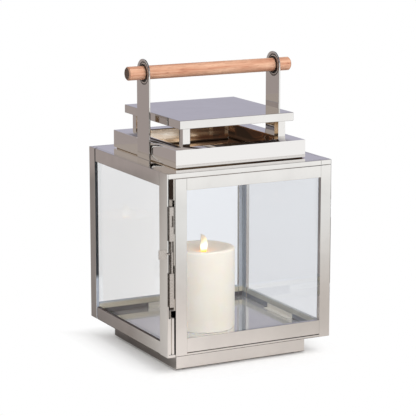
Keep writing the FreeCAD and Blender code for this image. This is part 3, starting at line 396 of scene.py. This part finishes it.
def lit_flame():
    """Frosted translucent plastic flame, lit from below: white hot low down and yellow above.

    The light fades towards the tip, and sooner on the left, and its rim turns amber and then beige.
    """
    finish, tree, shader, place = new_finish("lit_frosted_flame")
    part = add(tree, "ShaderNodeSeparateXYZ", None, {"Vector": place}).outputs
    up = add(tree, "ShaderNodeMapRange", None,
             {"Value": part["Z"], "From Min": FLAME_FOOT.z, "From Max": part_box("candle_flame")[1].z})
    left = add(tree, "ShaderNodeMapRange", None,
               {"Value": part["X"], "From Min": FLAME_FOOT.x - 4.5 * MM, "From Max": FLAME_FOOT.x + 1.5 * MM,
                "To Min": 0.5, "To Max": 0})
    above_foot = add(tree, "ShaderNodeMapRange", None, {"Value": up, "From Min": 0.15, "From Max": 0.6})
    upper_left = add(tree, "ShaderNodeMath", TIMES, {0: left, 1: above_foot})
    faded = add(tree, "ShaderNodeMath", {"operation": "ADD"}, {0: up, 1: upper_left})
    ramp = add(tree, "ShaderNodeValToRGB", None, {"Fac": up})
    stops = ramp.color_ramp.elements
    stops[0].color = linear("FFC24E")
    stops[1].color = linear("D8D4CC")
    for position, code in ((0.10, "FFF2B8"), (0.22, "FFFFF6"), (0.42, "FFFBE0"), (0.66, "FFF0C4"),
                           (0.84, "F4DFC4")):
        stops.new(position).color = linear(code)
    towards_tip = add(tree, "ShaderNodeMapRange", None, {"Value": faded, "From Min": 0.3, "From Max": 0.75})
    rim_colour = add(tree, "ShaderNodeMix", COLOURS, {0: towards_tip, 6: "FFCB7A", 7: "E2D8CC"})
    edge = add(tree, "ShaderNodeLayerWeight", None, {"Blend": 0.5}).outputs["Facing"]
    rim = add(tree, "ShaderNodeMapRange", None, {"Value": edge, "From Min": 0.12, "From Max": 0.55})
    colour = add(tree, "ShaderNodeMix", COLOURS, {0: rim, 6: ramp, 7: rim_colour})
    strength = add(tree, "ShaderNodeMapRange", None,
                   {"Value": faded, "From Min": 0.35, "From Max": 0.95, "To Min": 0.98, "To Max": 0.12})
    feed(shader, {"Base Color": colour, "Emission Color": colour, "Emission Strength": strength,
                  "Roughness": 0.5})
    return finish


def plain_finish(name, low, high, roughness, grain, metallic=0.0):
    """A moulded, sleeved or rubber surface: two close colours in a fine grain that also roughens it."""
    finish, tree, shader, place = new_finish(name)
    speckle = add(tree, "ShaderNodeTexNoise", None, {"Vector": place, "Scale": per_mm(grain), "Detail": 3.0})
    colour = add(tree, "ShaderNodeMix", COLOURS, {0: speckle, 6: low, 7: high})
    dulled = add(tree, "ShaderNodeMapRange", None,
                 {"Value": speckle, "To Min": roughness - 0.06, "To Max": roughness + 0.06})
    bump = add(tree, "ShaderNodeBump", None, {"Height": speckle, "Strength": 0.2, "Distance": 0.05 * MM})
    feed(shader, {"Base Color": colour, "Metallic": metallic, "Roughness": dulled, "Normal": bump})
    return finish


MIRROR = mirror_steel()
MILL_WITH_PAINTED_SHADE = mill_steel_with_painted_shade()
TRAY = tray_steel()
PAINTED_SHADE = painted_shade_steel()
PAINTED_INSIDE = steel_with_painted_inside()
STRAP = strap_steel()
SATIN = satin_steel()
STRIP = bright_strip()
GLASS = float_glass("clear_float_glass", "F9FAFB")
# painted light and shade: the left pane tinted paler, the door pane greyer
SIDE_GLASS = float_glass("clear_float_glass_painted_lighter", "FFFFFF")
DOOR_GLASS = float_glass("clear_float_glass_painted_darker", "F1F3F7")
WOOD = oiled_wood()
WAX = ivory_wax()
FLAME = lit_flame()
RUBBER = plain_finish("moulded_black_rubber", "101010", "1E1D1C", 0.75, 1.5)
MOULDED = plain_finish("moulded_ivory_abs", "D8CBB4", "E6DCC8", 0.45, 0.8)
JACKET = plain_finish("shrink_sleeved_cell", "4A4C50", "5C5E62", 0.35, 4.0, metallic=0.3)
LENS = plain_finish("amber_lamp_lens", "F2C66A", "F8DA94", 0.2, 2.0)

FINISH_OF_SLOT = {
    "polished_steel": MIRROR,
    "hardware_steel": SATIN,
    "clip_steel": STRIP,
    "clear_glass": GLASS,
    "oiled_wood": WOOD,
    "rubber": RUBBER,
    "wax": WAX,
    "candle_plastic": MOULDED,
    "cell_jacket": JACKET,
    "lamp_lens": LENS,
    "flame_plastic": FLAME,
}


# ---------------------------------------------------------------- pieces from the solids

def dress(piece, *nodes):
    """Finish a piece as its slot says and let it stand for these nodes, on their body."""
    slot = SLOT_OF[nodes[0]]
    piece.data.materials.clear()
    piece.data.materials.append(FINISH_OF_SLOT[slot])
    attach(piece, BODY_OF[nodes[0]])
    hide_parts(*nodes)
    return piece


def new_piece(name, data):
    """A new object in the scene, at the origin."""
    piece = bpy.data.objects.new(name, data)
    bpy.context.scene.collection.objects.link(piece)
    return piece


def settle(piece):
    """Turn a piece's live modifiers into plain mesh."""
    graph = bpy.context.evaluated_depsgraph_get()
    mesh = bpy.data.meshes.new_from_object(piece.evaluated_get(graph))
    piece.modifiers.clear()
    piece.data = mesh
    return piece


FRONT = (0, -1, 0)
LEFT = (-1, 0, 0)
RIGHT = (1, 0, 0)
DOWN = (0, 0, -1)
# The two directions an edge lies between, and its radius in millimetres.
ROLLED_EDGES = {
    "door_stile_right": ((FRONT, RIGHT, 1.7), (FRONT, DOWN, 0.9)),
    "header_block": ((FRONT, RIGHT, 1.7),),
    "door_rail_bottom": ((FRONT, DOWN, 0.7),),
    "door_stile_left": ((FRONT, DOWN, 0.9),),
    "floor_pan": ((FRONT, DOWN, 1.0), (LEFT, DOWN, 1.0)),
    "left_bottom_rail": ((LEFT, DOWN, 1.0),),
    "plinth_sides": ((FRONT, DOWN, 0.9), (LEFT, DOWN, 0.9)),
}
FOOT_BAR_GAP = 0.5 * MM
FOOT_BAR_ROUND = 0.9
BORE_ROUND = 0.9


def round_off(shape, edges, radius, segments=4):
    """Round edges to a radius in millimetres."""
    bmesh.ops.bevel(shape, geom=edges, offset=radius * MM, segments=segments, profile=0.5,
                    affect="EDGES", clamp_overlap=True)


def between(edge, first, second):
    """Whether an edge lies between faces that look in these two directions."""
    one, other = [face.normal for face in edge.link_faces]
    first = Vector(first)
    second = Vector(second)
    straight = one.dot(first) > 0.99 and other.dot(second) > 0.99
    swapped = one.dot(second) > 0.99 and other.dot(first) > 0.99
    return straight or swapped


def bore_edges(shape):
    """The round edges where the dowel's bore breaks through the faces of a strap."""
    reach = DOWEL_RADIUS + 0.8 * MM
    found = []
    for edge in shape.edges:
        on_face = any(abs(face.normal.x) > 0.99 for face in edge.link_faces)
        offsets = [vert.co - DOWEL_MIDDLE for vert in edge.verts]
        close = all(math.hypot(offset.y, offset.z) < reach for offset in offsets)
        if on_face and close and len(edge.link_faces) == 2:
            found.append(edge)
    return found


def door_foot_bar(shape):
    """Add the thin bar that closes the door below its bottom rail, a shadow line under the rail."""
    low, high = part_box("door_rail_bottom")
    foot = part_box("door_stile_left")[0].z
    top = low.z - FOOT_BAR_GAP
    size = Vector((high.x - low.x, high.y - low.y, top - foot))
    middle = Vector(((low.x + high.x) / 2, (low.y + high.y) / 2, (top + foot) / 2))
    placed = Matrix.Translation(middle) @ Matrix.Diagonal((*size, 1.0))
    bar = bmesh.ops.create_cube(shape, size=1.0, matrix=placed)
    edges = {edge for vert in bar["verts"] for edge in vert.link_edges}
    round_off(shape, [edge for edge in edges if between(edge, FRONT, DOWN)], FOOT_BAR_ROUND)


def eased(node, radius):
    """A copy of a node whose outward edges are rounded to a radius in millimetres, some of them rolled
    to a radius of their own."""
    shape = bmesh.new()
    shape.from_mesh(frame["nodes"][node].data)
    bmesh.ops.remove_doubles(shape, verts=shape.verts, dist=0.002 * MM)
    bmesh.ops.dissolve_limit(shape, angle_limit=math.radians(1), verts=shape.verts, edges=shape.edges)
    for first, second, roll in ROLLED_EDGES.get(node, ()):
        rolled = [edge for edge in shape.edges if edge.is_manifold and between(edge, first, second)]
        round_off(shape, rolled, roll)
    if node == "door_rail_bottom":
        door_foot_bar(shape)
    if node.startswith("handle_strap"):
        round_off(shape, bore_edges(shape), BORE_ROUND)
    outward = [edge for edge in shape.edges
               if edge.is_manifold and edge.calc_face_angle_signed() > math.radians(40)]
    round_off(shape, outward, radius, 3)
    for face in shape.faces:
        face.smooth = True
    for edge in shape.edges:
        if edge.is_manifold and abs(edge.calc_face_angle_signed()) > math.radians(50):
            edge.smooth = False
    mesh = bpy.data.meshes.new(node + "_eased")
    shape.to_mesh(mesh)
    shape.free()
    piece = new_piece(node + "_eased", mesh)
    normals = piece.modifiers.new("flat_faces", "WEIGHTED_NORMAL")
    normals.keep_sharp = True
    normals.weight = 100
    return dress(settle(piece), node)


def dull_inside(piece, node):
    """Give the faces of a frame bar that look into the case an unbuffed finish with painted light and shade.
    """
    low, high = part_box(node)
    size = high - low
    thin = min(range(3), key=lambda axis: size[axis])
    inward = Vector((0, 0, 0))
    inward[thin] = -math.copysign(1, low[thin] + high[thin])
    piece.data.materials.append(MILL_WITH_PAINTED_SHADE)
    piece.data.materials.append(PAINTED_SHADE)
    for face in piece.data.polygons:
        if face.normal.dot(inward) > 0.95 or (node == "left_rear_stile" and face.normal.y < -0.95):
            face.material_index = 1
        if node in ("back_bottom_rail", "right_bottom_rail") and face.normal.z > 0.3:
            face.material_index = 1
        # painted shade: the top of the left bottom rail
        if node == "left_bottom_rail" and face.normal.z > 0.3:
            face.material_index = 2


def paint_shade_under(piece):
    """Give the rolled lower edges of a piece the dark finish: a painted shade line under them."""
    piece.data.materials.append(PAINTED_SHADE)
    last = len(piece.data.materials) - 1
    for face in piece.data.polygons:
        if -0.995 < face.normal.z < -0.1:
            face.material_index = last


def turned(name, profile, axis, steps=96):
    """A closed solid of revolution about a vertical axis, from its (radius, height) loop in metres."""
    shape = bmesh.new()
    rings = []
    for step in range(steps):
        angle = math.tau * step / steps
        across = Vector((math.cos(angle), math.sin(angle), 0))
        centre = Vector((axis.x, axis.y, 0))
        rings.append([shape.verts.new(centre + radius * across + Vector((0, 0, height)))
                      for radius, height in profile(angle)])
    for ring, following in zip(rings, rings[1:] + rings[:1]):
        for i in range(len(ring)):
            j = (i + 1) % len(ring)
            shape.faces.new((ring[i], following[i], following[j], ring[j]))
    bmesh.ops.recalc_face_normals(shape, faces=shape.faces)
    for face in shape.faces:
        face.smooth = True
    for edge in shape.edges:
        if edge.calc_face_angle(0) > math.radians(50):
            edge.smooth = False
    mesh = bpy.data.meshes.new(name)
    shape.to_mesh(mesh)
    shape.free()
    return new_piece(name, mesh)


def arc(centre_radius, centre_height, radius, start, end, steps=6):
    """Points along part of a circle in the profile plane, angles in degrees."""
    points = []
    for step in range(steps + 1):
        angle = math.radians(start + (end - start) * step / steps)
        points.append((centre_radius + radius * math.cos(angle), centre_height + radius * math.sin(angle)))
    return points


RIM_ROUND = 3.2 * MM
BASE_ROUND = 1.6 * MM
NECK_RADIUS = 7.0 * MM
BORE_PLAY = 0.2 * MM


def pillar_candle():
    """The wax: an upright side that is a little uneven, a soft rim lowered here and there as if by
    melting, a dish that sinks to the flame's neck, and the bore for the lamp unit."""
    low, high = WAX_LOW, WAX_HIGH
    outer = (high.x - low.x) / 2
    core_low, core_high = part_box("candle_core")
    bore = (core_high.x - core_low.x) / 2 + BORE_PLAY
    shoulder = core_high.z - CORE_NECK

    def profile(angle):
        """The loop at an angle: up the side, over the rim, down the dish and back down the bore."""
        sink = 0.35 * MM * (2 + math.sin(2 * angle + 0.6) + 0.7 * math.sin(5 * angle))
        side = outer - 0.12 * MM * (2 + math.sin(3 * angle) + math.sin(7 * angle + 1))
        rim = high.z - sink
        loop = [(bore, low.z)]
        loop += arc(side - BASE_ROUND, low.z + BASE_ROUND, BASE_ROUND, -90, 0)
        loop += [(side, low.z + (rim - low.z) * share) for share in (0.3, 0.6, 0.85)]
        loop += arc(side - RIM_ROUND, rim - RIM_ROUND, RIM_ROUND, 0, 90)
        loop += arc(side - 2.2 * RIM_ROUND, rim - RIM_ROUND, RIM_ROUND, 90, 140, 3)
        slope_radius, slope_height = loop[-1]
        for share in (0.25, 0.5, 0.75, 1.0):
            radius = slope_radius + (NECK_RADIUS - slope_radius) * share
            fall = 1 - (1 - share) ** 2
            loop.append((radius, slope_height + (FLAME_FOOT.z - slope_height) * fall))
        loop += [(NECK_RADIUS, shoulder), (bore, shoulder)]
        return loop

    candle = turned("pillar_candle_wax", profile, (low + high) / 2)
    dress(candle, "candle_wax")


DOOR_BARS = ("door_stile_left", "door_stile_right", "door_rail_top", "door_rail_bottom")
CASE_BARS = ("left_rear_stile", "left_top_rail", "left_bottom_rail", "right_rear_stile", "right_top_rail",
             "right_bottom_rail", "right_front_stile", "back_stile_left", "back_stile_right",
             "back_top_rail", "back_bottom_rail")
# Pieces by the radius of their eased edges, in millimetres.
EASED_EDGES = {
    0.7: CASE_BARS + ("vent_posts",),
    0.5: ("door_header", "header_block", "roof_tray", "collar_sides", "handle_strap_left",
          "handle_strap_right"),
    0.35: DOOR_BARS + ("plinth_sides", "floor_pan", "channel_sill", "top_plate", "collar_seat",
                       "roof_underplate", "glass_left", "glass_right", "glass_back", "door_glass"),
    0.25: ("glass_clips_left", "glass_clips_right", "glass_clips_back", "door_clips", "strap_studs",
           "latch_channel", "channel_guard", "hinge_frame_halves", "hinge_door_halves", "hinge_pins",
           "latch_brackets", "latch_lever"),
}
FINISH_OF_NODE = {
    # painted shade: the roof's underside and the collar's seat
    "roof_underplate": PAINTED_SHADE,
    "collar_seat": PAINTED_SHADE,
    "collar_sides": PAINTED_INSIDE,
    "top_plate": PAINTED_INSIDE,
    "floor_pan": TRAY,
    "glass_left": SIDE_GLASS,
    "door_glass": DOOR_GLASS,
    "handle_strap_left": STRAP,
    "handle_strap_right": STRAP,
}


def fastener_tree(name, finish):
    """A node tree that sets one turned or many-sided body with softened ends on each point.

    Reach is the way from one end to the other, and Softness is how much narrower the ends are.
    """
    tree = bpy.data.node_groups.new(name, "GeometryNodeTree")
    for label, kind in (("Places", "Geometry"), ("Radius", "Float"), ("Softness", "Float"),
                        ("Sides", "Int"), ("Reach", "Vector")):
        tree.interface.new_socket(label, in_out="INPUT", socket_type="NodeSocket" + kind)
    tree.interface.new_socket("Fasteners", in_out="OUTPUT", socket_type="NodeSocketGeometry")
    given = add(tree, "NodeGroupInput").outputs
    line = add(tree, "GeometryNodeCurvePrimitiveLine", None, {"End": given["Reach"]})
    rings = add(tree, "GeometryNodeResampleCurve", None, {"Curve": line, "Count": 12})
    share = add(tree, "GeometryNodeSplineParameter").outputs["Factor"]
    swing = add(tree, "ShaderNodeMath", TIMES, {0: share, 1: math.pi})
    eased_in = add(tree, "ShaderNodeMath", {"operation": "COSINE"}, {0: swing})
    level = add(tree, "ShaderNodeMapRange", None,
                {"Value": eased_in, "From Min": -1, "From Max": 1, "To Min": 1, "To Max": 0})
    place = add(tree, "ShaderNodeVectorMath", {"operation": "SCALE"}, {0: given["Reach"], "Scale": level})
    spaced = add(tree, "GeometryNodeSetPosition", None, {"Geometry": rings, "Position": place})
    fullness = add(tree, "ShaderNodeMath", {"operation": "SINE"}, {0: swing})
    lacking = add(tree, "ShaderNodeMath", {"operation": "SUBTRACT"}, {0: 1.0, 1: fullness})
    at_ends = add(tree, "ShaderNodeMath", {"operation": "POWER"}, {0: lacking, 1: 2.0})
    narrower = add(tree, "ShaderNodeMath", TIMES, {0: given["Softness"], 1: at_ends})
    radius = add(tree, "ShaderNodeMath", {"operation": "SUBTRACT"}, {0: given["Radius"], 1: narrower})
    outline = add(tree, "GeometryNodeCurvePrimitiveCircle", None,
                  {"Resolution": given["Sides"], "Radius": 1.0})
    body = add(tree, "GeometryNodeCurveToMesh", None,
               {"Curve": spaced, "Profile Curve": outline, "Scale": radius, "Fill Caps": True})
    each = add(tree, "GeometryNodeInstanceOnPoints", None, {"Points": given["Places"], "Instance": body})
    real = add(tree, "GeometryNodeRealizeInstances", None, {"Geometry": each})
    coated = add(tree, "GeometryNodeSetMaterial", None, {"Geometry": real, "Material": finish})
    add(tree, "NodeGroupOutput", None, {"Fasteners": coated})
    return tree


def fasteners(name, node, tree, places, sizes):
    """Set one fastener on each place, turn them into plain mesh, and let them stand for a node."""
    mesh = bpy.data.meshes.new(name + "_places")
    mesh.from_pydata(places, [], [])
    piece = new_piece(name, mesh)
    modifier = piece.modifiers.new("fasteners", "NODES")
    modifier.node_group = tree
    for label, value in sizes.items():
        modifier[tree.interface.items_tree[label].identifier] = value
    settle(piece)
    piece.data.shade_smooth()
    piece.data.set_sharp_from_angle(angle=math.radians(35))
    dress(piece, node)


PAD_RADIUS = 7.0 * MM
SCREW_RADIUS = 3.0 * MM
SCREW_LENGTH = 12.0 * MM
NUT_THICKNESS = 2.6 * MM
NUT_INSET = 3.5 * MM


def four_places(node, inset, height):
    """The places of four equal fasteners, this far in from the ends of the node they fill."""
    low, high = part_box(node)
    return [(x, y, height)
            for x in (low.x + inset, high.x - inset)
            for y in (low.y + inset, high.y - inset)]


def small_fixings():
    """Foot pads, post screws and strap nuts."""
    low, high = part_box("foot_pads")
    fasteners("rubber_foot_pads", "foot_pads", fastener_tree("foot_pad", RUBBER),
              four_places("foot_pads", PAD_RADIUS, low.z),
              {"Radius": PAD_RADIUS, "Softness": 0.6 * MM, "Sides": 48, "Reach": (0.0, 0.0, high.z - low.z)})

    low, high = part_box("post_screws")
    places = four_places("post_screws", SCREW_RADIUS, low.z)
    places += four_places("post_screws", SCREW_RADIUS, high.z - SCREW_LENGTH)
    fasteners("vent_post_screws", "post_screws", fastener_tree("post_screw", SATIN), places,
              {"Radius": SCREW_RADIUS, "Softness": 0.8 * MM, "Sides": 32, "Reach": (0.0, 0.0, SCREW_LENGTH)})

    low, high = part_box("strap_nuts")
    places = [(x, y, (low.z + high.z) / 2)
              for x in (low.x, high.x - NUT_THICKNESS)
              for y in (low.y + NUT_INSET, high.y - NUT_INSET)]
    fasteners("strap_hex_nuts", "strap_nuts", fastener_tree("strap_nut", SATIN), places,
              {"Radius": (high.z - low.z) / 2, "Softness": 0.5 * MM, "Sides": 6,
               "Reach": (NUT_THICKNESS, 0.0, 0.0)})


pillar_candle()
small_fixings()
for radius, names in EASED_EDGES.items():
    for name in names:
        bar = eased(name, radius)
        if name in FINISH_OF_NODE:
            bar.data.materials[0] = FINISH_OF_NODE[name]
        if name in CASE_BARS + DOOR_BARS:
            dull_inside(bar, name)
        # painted shade line under the rolled lower edges
        if name in ROLLED_EDGES:
            paint_shade_under(bar)

for name, node in frame["nodes"].items():
    if not node.hide_render:
        node.data.materials.clear()
        node.data.materials.append(FINISH_OF_SLOT[SLOT_OF[name]])


# ---------------------------------------------------------------- studio

# What only polished faces show: dark flags to the left and right, each with its azimuth and half width
# in degrees, and two beams overhead, each with the middle and half width of its X or Y direction.
LEFT_FLAG, LEFT_TONE = (209, 39), "3A312B"
RIGHT_FLAG, RIGHT_TONE = (14, 30), "5A524C"
FRONT_BEAM, FRONT_BEAM_TONE = (0.451, 0.08), "2E2620"
SIDE_BEAM, SIDE_BEAM_TONE = (0.871, 0.05), "7E7A80"


def sector(tree, direction, azimuth, half_width, soft=4):
    """1 where a level direction lies within so many degrees of an azimuth, 0 elsewhere."""
    aim = Vector((math.cos(math.radians(azimuth)), math.sin(math.radians(azimuth)), 0))
    along = add(tree, "ShaderNodeVectorMath", {"operation": "DOT_PRODUCT"}, {0: direction, 1: aim})
    wide = math.cos(math.radians(half_width + soft))
    tight = math.cos(math.radians(half_width - soft))
    return add(tree, "ShaderNodeMapRange", None, {"Value": along, "From Min": wide, "From Max": tight})


def strip(tree, value, middle, half_width):
    """1 close to a middle value, falling off softly to 0 at the strip's edges."""
    offset = add(tree, "ShaderNodeMath", {"operation": "SUBTRACT"}, {0: value, 1: middle})
    size = add(tree, "ShaderNodeMath", ABSOLUTE, {0: offset})
    return add(tree, "ShaderNodeMapRange", None,
               {"Value": size, "From Min": 0.7 * half_width, "From Max": half_width,
                "To Min": 1, "To Max": 0})


def mirrored(tree):
    """1 for what a polished face shows, 0 for what is seen straight on or only lights the lantern."""
    ray = add(tree, "ShaderNodeLightPath").outputs
    glossy = add(tree, "ShaderNodeMath", {"operation": "GREATER_THAN"}, {0: ray["Glossy Depth"], 1: 0.5})
    matt = add(tree, "ShaderNodeMath", {"operation": "LESS_THAN"}, {0: ray["Diffuse Depth"], 1: 0.5})
    return add(tree, "ShaderNodeMath", TIMES, {0: glossy, 1: matt})


def make_floor():
    """A white studio floor that keeps the lantern's shadow close to it and runs out into pure white.

    Polished faces show it in other tones: warm grey paper behind the left side, darker close to the lantern
    as painted shadow, in front a sweep from darker warm grey near the lantern, a painted shadow, to white
    further off, and a dark flag to each side of them.
    """
    mesh = bpy.data.meshes.new("studio_floor")
    shape = bmesh.new()
    bmesh.ops.create_circle(shape, cap_ends=True, segments=96, radius=6.0)
    shape.to_mesh(mesh)
    shape.free()
    floor = new_piece("studio_floor", mesh)
    finish = bpy.data.materials.new("matt_white_floor")
    finish.use_nodes = True
    tree = finish.node_tree
    tree.nodes.clear()
    place = add(tree, "ShaderNodeTexCoord").outputs["Object"]
    part = add(tree, "ShaderNodeSeparateXYZ", None, {"Vector": place}).outputs

    spread = add(tree, "ShaderNodeVectorMath", ABSOLUTE, {0: place})
    sides = add(tree, "ShaderNodeSeparateXYZ", None, {"Vector": spread}).outputs
    reach = add(tree, "ShaderNodeMath", LARGER, {0: sides["X"], 1: sides["Y"]})
    clear = add(tree, "ShaderNodeMapRange", None, {"Value": reach, "From Min": 0.10, "From Max": 0.165})
    # painted light: the floor in front of the plinth lifted towards white
    front = add(tree, "ShaderNodeMapRange", None,
                {"Value": part["Y"], "From Min": -0.10, "From Max": -0.125, "To Max": 0.6})
    open_floor = add(tree, "ShaderNodeMath", LARGER, {0: clear, 1: front})
    bounced = add(tree, "ShaderNodeLightPath").outputs["Diffuse Depth"]
    unlit = add(tree, "ShaderNodeMath", {"operation": "LESS_THAN"}, {0: bounced, 1: 0.5})
    glow = add(tree, "ShaderNodeEmission", None, {"Color": "FFF9F3", "Strength": 0.12})
    lit = add(tree, "ShaderNodeBsdfDiffuse", None, {"Color": (0.88, 0.875, 0.87, 1.0)})
    close_by = add(tree, "ShaderNodeAddShader", None, {0: lit, 1: glow})
    pure = add(tree, "ShaderNodeEmission", None, {"Color": "FFFFFF"})
    seen = add(tree, "ShaderNodeMixShader", None, {0: open_floor, 1: close_by, 2: pure})
    white = add(tree, "ShaderNodeMixShader", None, {0: unlit, 1: lit, 2: seen})

    # painted shadow: the reflected floor darker near the lantern, more to the right
    to_right = add(tree, "ShaderNodeMapRange", None, {"Value": part["X"], "From Min": -0.1, "From Max": 0.2})
    near = add(tree, "ShaderNodeMix", COLOURS, {0: to_right, 6: "F4EDE9", 7: "D0C9C4"})
    forward = add(tree, "ShaderNodeMapRange", None,
                  {"Value": part["Y"], "From Min": -0.45, "From Max": -0.95})
    further = add(tree, "ShaderNodeMix", COLOURS, {0: forward, 6: near, 7: "F1F2F2"})
    far_off = add(tree, "ShaderNodeMapRange", None, {"Value": part["Y"], "From Min": -1.15, "From Max": -1.4})
    sweep = add(tree, "ShaderNodeMix", COLOURS, {0: far_off, 6: further, 7: "FFFFFF"})
    away = add(tree, "ShaderNodeVectorMath", {"operation": "LENGTH"}, {0: place})
    across = add(tree, "ShaderNodeVectorMath", {"operation": "DOT_PRODUCT"},
                 {0: place, 1: Vector((0.888, 0.46, 0.0))})
    # painted shadow: the left paper darker close to the lantern
    turning = add(tree, "ShaderNodeMapRange", None, {"Value": across, "From Min": -0.17, "From Max": -0.11})
    light_side = add(tree, "ShaderNodeMix", COLOURS, {0: turning, 6: "D6D2CE", 7: "9F9793"})
    shaded = add(tree, "ShaderNodeMapRange", None, {"Value": across, "From Min": -0.105, "From Max": -0.065})
    near_left = add(tree, "ShaderNodeMix", COLOURS, {0: shaded, 6: light_side, 7: "8F8885"})
    far_left = add(tree, "ShaderNodeMapRange", None, {"Value": away, "From Min": 1.4, "From Max": 1.58})
    left_paper = add(tree, "ShaderNodeMix", COLOURS, {0: far_left, 6: near_left, 7: "A69C99"})
    left = add(tree, "ShaderNodeVectorMath", {"operation": "DOT_PRODUCT"},
               {0: place, 1: Vector((-0.75, 0.66, 0.0))})
    on_left = add(tree, "ShaderNodeMapRange", None, {"Value": left, "From Min": 0.0, "From Max": 0.03})
    paper = add(tree, "ShaderNodeMix", COLOURS, {0: on_left, 6: sweep, 7: left_paper})
    heading = add(tree, "ShaderNodeVectorMath", {"operation": "NORMALIZE"}, {0: place}).outputs["Vector"]
    beyond = add(tree, "ShaderNodeMapRange", None, {"Value": away, "From Min": 0.3, "From Max": 0.5})
    shown = paper
    for flag, tone in ((LEFT_FLAG, LEFT_TONE), (RIGHT_FLAG, RIGHT_TONE)):
        share = add(tree, "ShaderNodeMath", TIMES, {0: beyond, 1: sector(tree, heading, *flag)})
        shown = add(tree, "ShaderNodeMix", COLOURS, {0: share, 6: shown, 7: tone})
    close = add(tree, "ShaderNodeBsdfDiffuse", None, {"Color": shown})
    distant = add(tree, "ShaderNodeEmission", None, {"Color": shown})
    fade = add(tree, "ShaderNodeMapRange", None, {"Value": away, "From Min": 0.15, "From Max": 0.36})
    paper_look = add(tree, "ShaderNodeMixShader", None, {0: fade, 1: close, 2: distant})

    look = add(tree, "ShaderNodeMixShader", None, {0: mirrored(tree), 1: white, 2: paper_look})
    add(tree, "ShaderNodeOutputMaterial", None, {"Surface": look})
    mesh.materials.append(finish)


def make_world():
    """Studio surroundings: white where seen, and toned cards, flags and beams for the mirror finish."""
    world = bpy.data.worlds.new("studio")
    bpy.context.scene.world = world
    world.use_nodes = True
    tree = world.node_tree
    tree.nodes.clear()
    toward = add(tree, "ShaderNodeTexCoord").outputs["Generated"]
    part = add(tree, "ShaderNodeSeparateXYZ", None, {"Vector": toward}).outputs
    behind = add(tree, "ShaderNodeMapRange", None, {"Value": part["Y"], "From Min": -0.1, "From Max": 0.2})
    wall = add(tree, "ShaderNodeMix", COLOURS, {0: behind, 6: "F4F3F2", 7: "B5B3C1"})
    low_down = add(tree, "ShaderNodeMapRange", None, {"Value": part["Z"], "From Min": 0.0, "From Max": 0.2})
    left_card = add(tree, "ShaderNodeMix", COLOURS, {0: low_down, 6: "AAA19E", 7: "B4AAA2"})
    carded = add(tree, "ShaderNodeMix", COLOURS, {0: sector(tree, toward, 117, 36), 6: wall, 7: left_card})
    flagged = add(tree, "ShaderNodeMix", COLOURS,
                  {0: sector(tree, toward, *LEFT_FLAG), 6: carded, 7: LEFT_TONE})
    rise = add(tree, "ShaderNodeMapRange", None, {"Value": part["Z"], "From Min": 0.24, "From Max": 0.34})
    raised = add(tree, "ShaderNodeMix", COLOURS, {0: rise, 6: flagged, 7: "B4B1B6"})
    side_line = add(tree, "ShaderNodeMath", TIMES, {0: rise, 1: strip(tree, part["Y"], *SIDE_BEAM)})
    beamed = add(tree, "ShaderNodeMix", COLOURS, {0: side_line, 6: raised, 7: SIDE_BEAM_TONE})
    high = add(tree, "ShaderNodeMapRange", None, {"Value": part["Z"], "From Min": 0.56, "From Max": 0.64})
    front_line = add(tree, "ShaderNodeMath", TIMES, {0: high, 1: strip(tree, part["X"], *FRONT_BEAM)})
    roofed = add(tree, "ShaderNodeMix", COLOURS, {0: front_line, 6: beamed, 7: FRONT_BEAM_TONE})
    overhead = add(tree, "ShaderNodeMapRange", None, {"Value": part["Z"], "From Min": 0.9, "From Max": 0.94})
    skylight = add(tree, "ShaderNodeMix", COLOURS, {0: overhead, 6: roofed, 7: "DCDADA"})

    bounced = add(tree, "ShaderNodeLightPath").outputs["Diffuse Depth"]
    matt = add(tree, "ShaderNodeMath", {"operation": "GREATER_THAN"}, {0: bounced, 1: 0.5})
    ambient = add(tree, "ShaderNodeBackground", None, {"Color": (0.98, 0.985, 1.0, 1.0), "Strength": 0.6})
    backdrop = add(tree, "ShaderNodeBackground", None, {"Color": "FFFFFF"})
    cards = add(tree, "ShaderNodeBackground", None, {"Color": skylight})
    first = add(tree, "ShaderNodeMixShader", None, {0: mirrored(tree), 1: backdrop, 2: cards})
    last = add(tree, "ShaderNodeMixShader", None, {0: matt, 1: first, 2: ambient})
    add(tree, "ShaderNodeOutputWorld", None, {"Surface": last})


def make_lamp(name, place, size, watts, colour):
    """A square soft lamp that points at the middle of the lantern."""
    light = bpy.data.lights.new(name, "AREA")
    light.size = size
    light.energy = watts
    light.color = linear(colour)[:3]
    lamp = new_piece(name, light)
    lamp.location = place
    lamp.visible_glossy = False
    lamp.rotation_euler = (Vector((0, 0, 0.2)) - Vector(place)).to_track_quat("-Z", "Y").to_euler()


def make_camera():
    """A long lens in front and to the left, a little above the lantern."""
    turn = math.radians(27.37)
    rise = math.radians(11.24)
    distance = 2.629
    middle = Vector((0, 0, 0.2117))
    aim = Vector((0, 0, 0.2007))
    toward = Vector((-math.sin(turn) * math.cos(rise), -math.cos(turn) * math.cos(rise), math.sin(rise)))
    data = bpy.data.cameras.new("camera")
    data.lens = 160.46
    data.sensor_width = 36
    camera = new_piece("camera", data)
    camera.location = middle + distance * toward
    camera.rotation_euler = (aim - camera.location).to_track_quat("-Z", "Y").to_euler()
    bpy.context.scene.camera = camera


make_floor()
make_world()
make_lamp("key_softbox", (0.1, -1.65, 1.5), 1.0, 33, "FFFFFF")
make_camera()
bpy.context.scene.view_settings.view_transform = "Standard"
